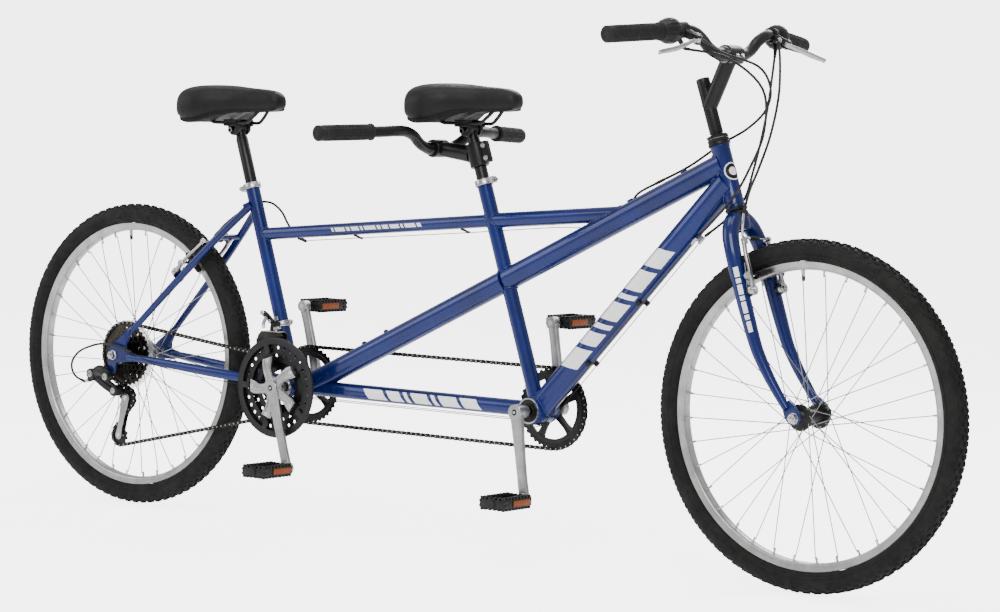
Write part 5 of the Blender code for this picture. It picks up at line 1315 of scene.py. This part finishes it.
def grips():
    """Ribbed rubber grips on both bars, and the twist shifters inside the captain's."""
    for side_name, hand in SIDES:
        for prefix, body, points, start in (("captain", "steering", CAPTAIN_BAR, 206),
                ("stoker", "captain_seat", STOKER_BAR, 200)):
            p = Piece(f"{prefix}_{side_name}_grip_rubber", "grip")
            a, b = [bar_point(points, hand, y) for y in (start, abs(points[-1][1]) + 4.2)]
            axis, length = (b - a).normalized(), (b - a).length
            prof = [(11.3, 0), (16.6, 0), (17, 0.6), (17, 3), (16.6, 3.6), (15.2, 4.6)]
            spot = 7.5
            while spot < length - 12:
                prof += [(15.2, spot), (15.7, spot + 0.6), (15.7, spot + 2.4), (15.2, spot + 3)]
                spot += 4.8
            prof += [(15.5, length - 9), (15.8, length - 6), (15.7, length - 1.5), (14.8, length - 0.2),
                (11.3, length)]
            p.lathe(prof, a, axis, 40)
            p.pin(b, axis, -2.2, 1.4, 15, 36, 13.8, 0.8)
            p.lathe([(7, 0.8), (10.4, 0.8), (10.4, 2), (7, 2)], b, axis, 32)
            for q in circle(axis, 14):
                p.box(a.lerp(b, 0.5) + q * 15.3, (length - 30, 1.4, 1.6), axis, axis.cross(q), 0.4)
            p.make(body, f"{prefix}_{side_name}_grip")

        p = Piece(side_name + "_shifter_barrel", "black_plastic")
        a, b = [bar_point(CAPTAIN_BAR, hand, y) for y in (166, 205)]
        shape = [(0, 17.6), (0.06, 20), (0.14, 22.2), (0.26, 23.6), (0.4, 24.1), (0.54, 23.7), (0.68, 22.3),
            (0.8, 20.4), (0.9, 18.7), (0.97, 17.5), (1, 16.8)]
        turns = circle((b - a).normalized(), 72)
        rings = [[a.lerp(b, t) + q * (r + (0.7 * max(0, cos(TAU * j / 4)) if 0.2 < t < 0.85 else 0))
            for j, q in enumerate(turns)] for t, r in shape]
        p.rings(rings + [[end + q * 11.3 for q in turns] for end in (b, a)], True)
        p.make(side_name + "_shifter", side_name + "_twist_shifter")


def fork_graphics(p, path, thick, hand):
    """Slanted white blocks on the outer face of a fork blade."""
    for t0, t1 in ((0.4, 0.43), (0.435, 0.449), (0.454, 0.486), (0.491, 0.505), (0.51, 0.546),
            (0.551, 0.565), (0.57, 0.6)):
        rows = []
        for j in range(7):
            spot = (t0 + (t1 - t0) * j / 6) * (len(path) - 1)
            i = int(spot)
            q, r = path[i].lerp(path[i + 1], spot - i), thick[i].lerp(thick[i + 1], spot - i).x
            along = (path[i + 1] - path[i]).normalized()
            cross = along.cross(Y * hand).normalized()
            face = cross.cross(along).normalized()
            arc = [0.46 * hand + 0.64 * (m / 6 - 0.5) for m in range(7)]
            rows.append([q + (face * cos(a) + cross * sin(a)) * (r + rise)
                for rise, angles in ((0.6, arc), (-0.6, arc[::-1])) for a in angles])
        p.rings(rows, mat="badge_white")


def fork():
    p = Piece("fork_blades", "blue_paint")
    up, fwd = HEAD_UP, HEAD_FORWARD
    p.pin(HEAD_BOTTOM, up, -26, 0, 12.6, 32)
    p.lathe([(11.3, 0), (12.5, 0), (12.5, 18), (11.3, 18)], HEAD_TOP, up, 32, "chrome")
    p.lathe([(12.3, -20.5), (19.6, -20), (20.8, -18), (21, -12), (20, -9.8), (18.6, -9), (18.6, -7.7),
        (12.3, -7.7)], HEAD_BOTTOM, up, mat="black_paint")
    p.lathe([(12.6, -46), (16.6, -45.5), (19.6, -36), (19.8, -23), (18.6, -20.6), (12.6, -20.6)],
        HEAD_BOTTOM, up)
    for hand in (RIGHT, LEFT):
        path = smooth([S(x, z, y * hand) for x, z, y in ((1558.5, 689, 2), (1561, 684.5, 15),
            (1565, 674.5, 30), (1572.5, 654, 43.5), (1586, 618, 51.5), (1603, 566, 53.2), (1620, 515, 54),
            (1640, 460, 54.5), (1655, 430, 54.8), (1674, 399, 55), (1695, 369, 55), (1712.5, 345.5, 55))],
            5)
        thick = smooth([Vector((r, 0, 0)) for r in (17.2, 17.6, 16.8, 15.8, 15, 14.2, 13.4, 12, 11.2, 10,
            8.8, 7.6)], 5)
        p.sweep(path, [t.x for t in thick], 28)
        dropout = ((1700, 352), (1708, 330), (1715, 320), (1726, 315.5), (1737, 319), (1742.5, 328),
            (1741, 339), (1731, 350), (1716, 362))
        p.slab([S(x, z) for x, z in dropout], *sorted((50.2 * hand, 55.8 * hand)), bevel=1)
        foot = FRONT_BOSS + Y * 51 * hand
        p.pin(foot, fwd, 0, 16, 7.8, r2=6.8)
        p.pin(foot, fwd, 15, 30, 4.9, mat="chrome")
        fork_graphics(p, path, thick, hand)
    p.make("steering", "fork")


def quill_stem():
    p = Piece("quill_stem", "black_paint")
    up, clamp = HEAD_UP, S(1533, 993)
    p.pin(HEAD_TOP, up, -55, 24, 11, 36)
    p.lathe([(7, 24), (12.8, 24), (13.1, 26), (13.1, 130), (12.4, 131.8), (7.8, 131.8), (7, 129)], HEAD_TOP,
        up)
    p.pin(HEAD_TOP, up, 118, 125, 7.2, mat="chrome")
    foot = HEAD_TOP + up * 77
    neck = (clamp - foot).normalized()
    path = smooth([foot - neck * 4, foot + neck * 10, foot.lerp(clamp, 0.55), clamp - neck * 12], 5)
    p.sweep(path, [14.5 + 0.8 * k / 15 for k in range(16)], 32)
    p.lathe(cuff(13, 18.2, 22.5, 1.2, 1), clamp)
    for hand in (RIGHT, LEFT):
        p.lathe([(12.9, 22.4), (15.8, 22.4), (15.8, 23.6), (12.9, 23.6)], clamp, mat="chrome", hand=hand)
    ahead, rise = clamp + Vector((15.5, 0, -8)), Vector((0.5, 0, 0.86))
    p.box(ahead, (13, 30, 15), Vector((0.86, 0, -0.5)), bevel=2.6)
    for y in (-8.5, 8.5):
        p.bolt(ahead + Y * y + rise * 7.2, rise, 3.6, 3.6, False, "chrome")
    p.make("steering", "stem")


def stoker_stem():
    p = Piece("stoker_stem_body", "black_paint")
    collar, centre = FRONT_SEAT_TOP + FRONT_SEAT_UP * 52, S(836, 800)
    p.lathe(cuff(13.4, 19.2, 24, 1.2, 1.4), collar, FRONT_SEAT_UP)
    ahead = ahead_of(FRONT_SEAT_UP)
    p.box(collar + ahead * 23, (15, 15, 44), ahead, bevel=2.8)
    for rise in (-13, 13):
        q = collar + ahead * 24 + FRONT_SEAT_UP * rise
        p.bolt(q - Y * 7.5, -Y, 4.2, 3.4, False, "chrome")
        p.pin(q, Y, 7, 10, 4.8, 6, mat="chrome")
    neck = (centre - collar).normalized()
    path = smooth([collar + neck * 15, collar + neck * 30, collar.lerp(centre, 0.6), centre - neck * 13], 5)
    p.sweep(path, [15.8 - 2.6 * k / 15 for k in range(16)], 32, 1.12)
    p.lathe(cuff(13.1, 18, 20.5, 1.2, 1.3), centre)
    p.box(centre - X * 19, (10, 30, 24), bevel=2.6)
    for z in (7.8, -7.8):
        for y in (-9.5, 9.5):
            p.bolt(centre + Vector((-20, y, z)), -X, 3.4, 3.4, False, "black_steel")
    p.make("captain_seat", "stoker_stem")


def front_end():
    fork()
    quill_stem()
    bend_bar("captain_handlebar", CAPTAIN_BAR, 40, "steering", "handlebar", lever_mounts)
    bend_bar("stoker_handlebar_tube", STOKER_BAR, 36, "captain_seat", "stoker_handlebar")
    levers()
    grips()
    stoker_stem()


# ---------------------------------------------------------------- seats
SADDLE_TAIL = 125
# ahead of the tail, half width, skirt edge, crown above the rails
SADDLE = [(0.5, 30, 34, 52), (4, 48, 26, 62), (12, 70, 12, 70), (26, 87, 3, 75.5), (48, 94.5, -0.5, 78.5),
    (74, 93.5, 2, 79), (98, 82, 10.5, 78), (120, 64, 18.5, 76.5), (145, 46, 22.8, 74),
    (172, 34.5, 24.6, 72.5), (200, 29, 25.5, 72), (224, 25.8, 26.8, 70), (239, 21.5, 29, 65.5),
    (247.5, 15, 33, 59), (250.5, 7, 39, 51)]


def seat_cover(name, centre):
    """The padded cover as one closed skin, pressed full of air over a few frames, then smoothed."""
    tail = centre.x - SADDLE_TAIL
    rings = []
    for ahead, half, low, high in smooth_rows(SADDLE, 3):
        mid = low + (high - low) * 0.45
        rings.append([])
        for _, s, u, _ in oval(40, 0.62):
            rise = (high - mid) * s ** 0.85 if s > 0 else (low - mid) * (-s) ** 0.42
            rings[-1].append(Vector((tail + ahead, u * half, centre.z + mid + rise)))
    p = Piece(name, "leather")
    p.rings(rings)
    cover = p.build()
    use_modifier(cover, "REMESH", mode="VOXEL", voxel_size=0.0048)
    inflate(cover)
    use_modifier(cover, "SMOOTH", factor=0.5, iterations=6)
    use_modifier(cover, "SUBSURF", levels=1, render_levels=1)
    cover.data.shade_smooth()
    return cover


def smooth_rows(rows, pieces):
    """The same rows with smooth steps between them."""
    ends = ([Vector(r[:3]) for r in rows], [Vector((r[3], 0, 0)) for r in rows])
    return [(a.x, a.y, a.z, b.x) for a, b in zip(smooth(ends[0], pieces), smooth(ends[1], pieces))]


def use_modifier(obj, kind, **settings):
    """Adds a modifier with its settings and applies it."""
    mod = obj.modifiers.new(kind.lower(), kind)
    for key, value in settings.items():
        setattr(mod, key, value)
    with bpy.context.temp_override(object=obj, active_object=obj, selected_objects=[obj]):
        bpy.ops.object.modifier_apply(modifier=mod.name)


CLOTH_FRAMES = 20
PRESSURE, STIFFNESS, CLOTH_MASS = 4.0, 15.0, 0.3
UNDERSIDE = -0.35
MOST_MOVED = 0.003


def inflate(cover):
    """A short cloth run with air pressure inside: the underside stays on its shell."""
    before = [v.co.copy() for v in cover.data.vertices]
    held = cover.vertex_groups.new(name="held")
    held.add([v.index for v in cover.data.vertices if v.normal.z < UNDERSIDE], 1.0, "REPLACE")
    mod = cover.modifiers.new("pad", "CLOTH")
    cloth = mod.settings
    cloth.use_pressure, cloth.uniform_pressure_force = True, PRESSURE
    cloth.tension_stiffness = cloth.compression_stiffness = STIFFNESS
    cloth.mass, cloth.vertex_group_mass = CLOTH_MASS, "held"
    cloth.effector_weights.gravity = 0.0
    mod.point_cache.frame_start, mod.point_cache.frame_end = 1, CLOTH_FRAMES
    scene = bpy.context.scene
    for number in range(1, CLOTH_FRAMES + 1):
        scene.frame_set(number)
        puffed = cover.evaluated_get(bpy.context.evaluated_depsgraph_get()).data
    after = [v.co.copy() for v in puffed.vertices]
    cover.modifiers.remove(mod)
    scene.frame_set(1)
    for v, old, new in zip(cover.data.vertices, before, after):
        move = new - old
        v.co = old + move * min(1.0, MOST_MOVED / max(move.length, 1e-09))


def seats():
    """Both saddles with their rails, and the posts that hold them."""
    for end, top, up, rise, body in (("front", FRONT_SEAT_TOP, FRONT_SEAT_UP, 112, "captain_seat"),
            ("rear", REAR_SEAT_TOP, REAR_SEAT_UP, 128, "stoker_seat")):
        head, centre = top + up * rise, top + up * (rise + 6)
        cover = seat_cover(end + "_saddle_cover", centre)
        hand_over(cover, body, end + "_saddle")

        p = Piece(end + "_saddle_frame", "black_plastic")
        under = ((-0.8, -1), (-0.86, 0.6), (-0.86, 9), (0.86, 9), (0.86, 0.6), (0.8, -1), (0.4, 0.4), (0, 1),
            (-0.4, 0.4))
        p.rings([[Vector((centre.x - SADDLE_TAIL + ahead, half * u, centre.z + low + lift))
            for u, lift in under] for ahead, half, low, _ in smooth_rows(SADDLE, 2)[5:-4]], mat="tyre_wall")
        rail = ((-84, 40, 28), (-73, 36, 22), (-60, 30.5, 8), (-48, 26.5, 1.2), (-36, 24.5, 0), (0, 22.5, 0),
            (30, 21.5, 0), (43, 20.5, 2), (58, 17.5, 14), (75, 13, 30), (90, 9.5, 40))
        for hand in (RIGHT, LEFT):
            p.sweep(smooth([centre + Vector((x, y * hand, z)) for x, y, z in rail], 4), 3.5, 14,
                mat="black_paint")
        p.box(centre + Vector((86, 0, 34.5)), (20, 30, 6), bevel=1.5)
        p.box(centre + Vector((-74, 0, 23)), (16, 84, 6), bevel=1.5)
        p.make(body, end + "_saddle")

        p = Piece(end + "_seatpost_and_clamp", "black_paint")
        p.pin(head, up, -260, -30, 12.7, 36, ends=0.6)
        p.pin(head, up, -30, -22, 12.7, 36, 11)
        p.pin(head, up, -22, 4, 11, 36)
        cradle = [(5, 11.8), (15, 11.8), (17, 13.2), (17, 17.6), (15, 19.2), (5, 19.2)]
        for hand in (-1, 1):
            p.lathe(cradle, head - up * 4, steps=36, mat="black_steel", hand=hand)
            for z in (4.6, -4.6):
                p.box(centre + Vector((0, 22.2 * hand, z)), (36, 11, 5.2), bevel=1.2, mat="black_steel")
        p.pin(head - up * 4, Y, -12, 12, 12.5, 32, mat="black_steel")
        bolt = head - up * 10 - X * 6
        for low, high, r, sides in ((-26, 26, 3.4, 16), (-26, -20, 6.2, 6), (20, 26, 6.2, 6)):
            p.pin(bolt, Y, low, high, r, sides, mat="chrome")
        p.make(body, end + "_seatpost")


# ---------------------------------------------------------------- brakes and cables
def brake(end, side_name, hand, boss, up, out, shift):
    """A linear-pull arm with its spring box, pad, cable clamp or noodle socket."""
    p = Piece(f"{end}_{side_name}_brake_lever_arm", "chrome")
    pivot, outwards = boss + out * shift, Y * hand
    path = smooth([pivot + up * u - outwards * inset + out * o for u, inset, o in ((-4, 0, 0), (8, 0, 0),
        (22, 0, 1.5), (45, 2, 2), (72, 6.5, 0), (BRAKE_TOP, 12, 0))], 4)
    rings = []
    for k, q in enumerate(path):
        t = k / (len(path) - 1)
        along = along_at(path, k)
        side = out.cross(along).normalized()
        face = along.cross(side)
        wide = 8 - 3.4 * min(1, t * 2.2) + max(0, t - 0.85) / 0.15
        deep = 6.2 - 2.8 * min(1, t * 2)
        rings.append([])
        for c, s, u, v in oval(18, 0.6):
            dent = 1.4 * max(0, 1 - abs(c) / 0.5) if s > 0.6 and 0.18 < t < 0.92 else 0
            rings[-1].append(q + side * u * wide + face * (v * deep - dent))
    p.rings(rings, mat="alloy")
    p.lathe([(5.6, -6.5), (9.8, -6.5), (10.4, -5.5), (10.4, 3), (9.6, 4.5), (5.6, 4.5)], pivot, out, 36,
        "alloy")
    p.lathe([(5.6, -9.5), (10.8, -9.5), (11.2, -6.6), (5.6, -6.6)], pivot, out, 32, "black_plastic")
    p.bolt(pivot + out * 5, out, 5, hexed=False)
    p.sweep(smooth([pivot + up * u + outwards * y - out * o for u, y, o in ((6, 9.5, 6), (30, 8.5, 2),
        (52, 6, 0))], 4), 1, 8)
    pad = pivot + up * 27.5
    stud = Vector((pad.x, pivot.y, pad.z))
    pad.y = 20 * hand
    lift = out.cross(Y).normalized()
    rings = []
    for k in range(9):
        t = k / 8 - 0.5
        taper = 1 - 0.35 * max(0, abs(t) - 0.36) / 0.14
        rings.append([pad + out * 52 * t + outwards * v * 4.8 + lift * u * 5 * taper for u, v in
            ((-1, -1), (-1, 0.2), (-0.75, 1), (0.75, 1), (1, 0.2), (1, -1))])
    p.rings(rings, mat="grip")
    for k in (-0.3, 0, 0.3):
        p.box(pad + out * 52 * k - outwards * 0.6, (2.4, 8, 10.4), out, bevel=0.4, mat="black_plastic")
    p.rod(pad + outwards * 3, stud + outwards * 9, 3, 16)
    for low, high, r in ((4.5, 8, 6.8), (8, 10, 7.8)):
        p.pin(pad, outwards, low, high, r, ends=0.4, mat="black_steel")
    p.pin(stud, outwards, 5.8, 7.2, 7.4)
    p.pin(stud, outwards, 7.2, 11.8, 5.6, 6)
    tip = pivot + up * (BRAKE_TOP - 4) - outwards * 11.5
    if (end == "front") == (side_name == "right"):
        p.box(tip + out, (9, 11, 12), out, bevel=1.6, mat="alloy")
    else:
        p.bolt(tip + out * 3, out, 4.6, 4.2)
        p.pin(tip, out, -5, 3.6, 5.8, ends=0.4)
    p.make(f"{end}_{side_name}_brake", f"{end}_{side_name}_brake_arm")


CABLE_ROUTES = {
    "rear_brake_cable": [(1550, -138.5, 1022), (1552, -55, 995), (1582, 20, 972), (1594, 45, 932),
        (1584, 45, 890), (1550, 36, 855), (1500, 28, 826), (1440, 10, 782), (1380, 0, 751)],
    "front_brake_cable": [(1550, 138.5, 1022), (1585, 90, 975), (1612, 45, 915), (1618, 12, 845),
        (1608, -8, 785), (1602, -30, 740), (1598, -41, 700)],
    "front_shift_cable": [(1535, 150, 1000), (1556, 110, 960), (1580, 60, 900), (1586, 30, 835),
        (1570, 30, 775), (1548, 36, 722), (1512, 28, 682), (1479, 12, 651)],
    "rear_shift_cable": [(1530, -150, 1000), (1572, -70, 985), (1618, -20, 930), (1630, -30, 850),
        (1606, -40, 780), (1568, -32, 728), (1520, -25, 682), (1479, -12, 651)],
}
UNDER_TUBES = [(1479, 12, 651), (1460, 12, 630.9), (1194.3, 12, 345.4), (1163.7, 12, 312.5),
    (1133, 12, 273.5), (1118.5, 12, 262.2), (1105, 12, 259), (1080, 12, 262), (1055, 12, 270),
    (500, 12, 270)]
# the rest of each cable along the frame, in lengths that are bare or cased: (bare, points)
CABLE_RUNS = {
    "rear_brake_cable": [
        (False, [(1380, 0, 751), (1330, 0, 726.5), (1300, 20, 700.2), (1270, 29.5, 665.7),
            (1235, 27.5, 655), (1200, 24, 655)]),
        (True, [(1200, 24, 655), (1116, 20, 652), (902, 20, 632.5), (467, 20, 597)]),
        (False, [(467, 20, 597), (440, 20, 608), (416, 22, 630.5), (395, 25, 655), (365, 27, 672),
            (330, 26, 672), (285, 22, 652), (255, 8, 627), (238, -12, 598)])],
    "rear_shift_cable": [
        (True, [(x, -y, z) for x, y, z in UNDER_TUBES] + [(466, -13, 265.5), (445, -16, 272),
            (430, -20, 280), (390, -29, 286), (300, -43, 292), (215, -56, 299), (130, -72, 315),
            (60, -80, 340)]),
        (False, [(60, -80, 340), (20, -84, 350), (-20, -87, 353), (-55, -90, 345), (-85, -92, 332),
            (-105, -92, 312), (-108, -91, 293), (-98, -88, 276), (-76, -82, 266)])],
    "front_shift_cable": [
        (True, UNDER_TUBES + [(466, 8, 266), (440, 5, 272), (431, 4, 296), (424, 2, 350),
            (412, 0, 396)])],
}


def cables():
    """Each cable from the bar along its route, with a ferrule at every end of its casing."""
    for name, route in CABLE_ROUTES.items():
        p = Piece(name + "_line", "housing")
        path = smooth([S(x, z, y) for x, y, z in route])
        cased = [path]
        p.sweep(path, CASING_R, 12)
        for bare, points in CABLE_RUNS.get(name, ()):
            spots = [S(x, z, y) for x, y, z in points]
            if bare:
                p.sweep(spots, WIRE_R, 8, mat="black_steel")
                continue
            cased.append(smooth(spots, 5))
            p.sweep(cased[-1], CASING_R, 12)
        for line in cased:
            for tip, inside in ((line[0], line[1]), (line[-1], line[-2])):
                p.pin(tip, (inside - tip).normalized(), -1, 11, 3.1, 16, ends=0.5, mat="black_plastic")
        if name == "front_brake_cable":
            noodle(p, S(1598, 700, -41), HEAD_UP, HEAD_FORWARD, RIGHT)
            p.make("steering", name)
            continue
        if name == "rear_brake_cable":
            noodle(p, S(238, 598, -12), STAY_UP, STAY_OUT, LEFT)
        line = p.make(None, name)
        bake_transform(line)


def noodle(p, start, up, out, hand):
    """The bent metal pipe from the cable's end over the arm's top, then bare cable in a rubber boot."""
    boss = FRONT_BOSS + out * FRONT_OUT if hand == RIGHT else REAR_BOSS + out * REAR_OUT
    tip = boss + up * 98.5 + Y * 38.5 * hand
    far = boss + up * 96 - Y * 40 * hand
    if hand == RIGHT:
        bend = smooth([start, start.lerp(tip, 0.45) + Y * 3.5 * hand, tip + up * 6 + Y * hand,
            tip + up * 1.2 - Y * 6 * hand, tip - Y * 20 * hand], 6)
    else:
        bend = smooth([start, start.lerp(tip, 0.5) + up * 4, tip + Y * 6 * hand + up * 4,
            tip - Y * 4 * hand + up, tip - Y * 18 * hand], 6)
    p.sweep(bend, 2.4, 14, mat="chrome")
    inner = bend[-1]
    p.sweep([inner, far], 0.8, 8, mat="chrome")
    p.lathe([(2.4, 4), (4.2, 7), (4.4, 12), (3.4, 13), (3.4, 15), (4.2, 16), (4.2, 20), (3.2, 21),
        (3.2, 23), (3.8, 24), (3.6, 28), (2, 32), (1, 32), (1, 4)], inner, (far - inner).normalized(), 20,
        "grip")


front_end()
seats()
for side_name, hand in SIDES:
    brake("front", side_name, hand, FRONT_BOSS + Y * 51 * hand, HEAD_UP, HEAD_FORWARD, FRONT_OUT)
    brake("rear", side_name, hand, REAR_BOSS + Y * 51.5 * hand, STAY_UP, STAY_OUT, REAR_OUT)
cables()
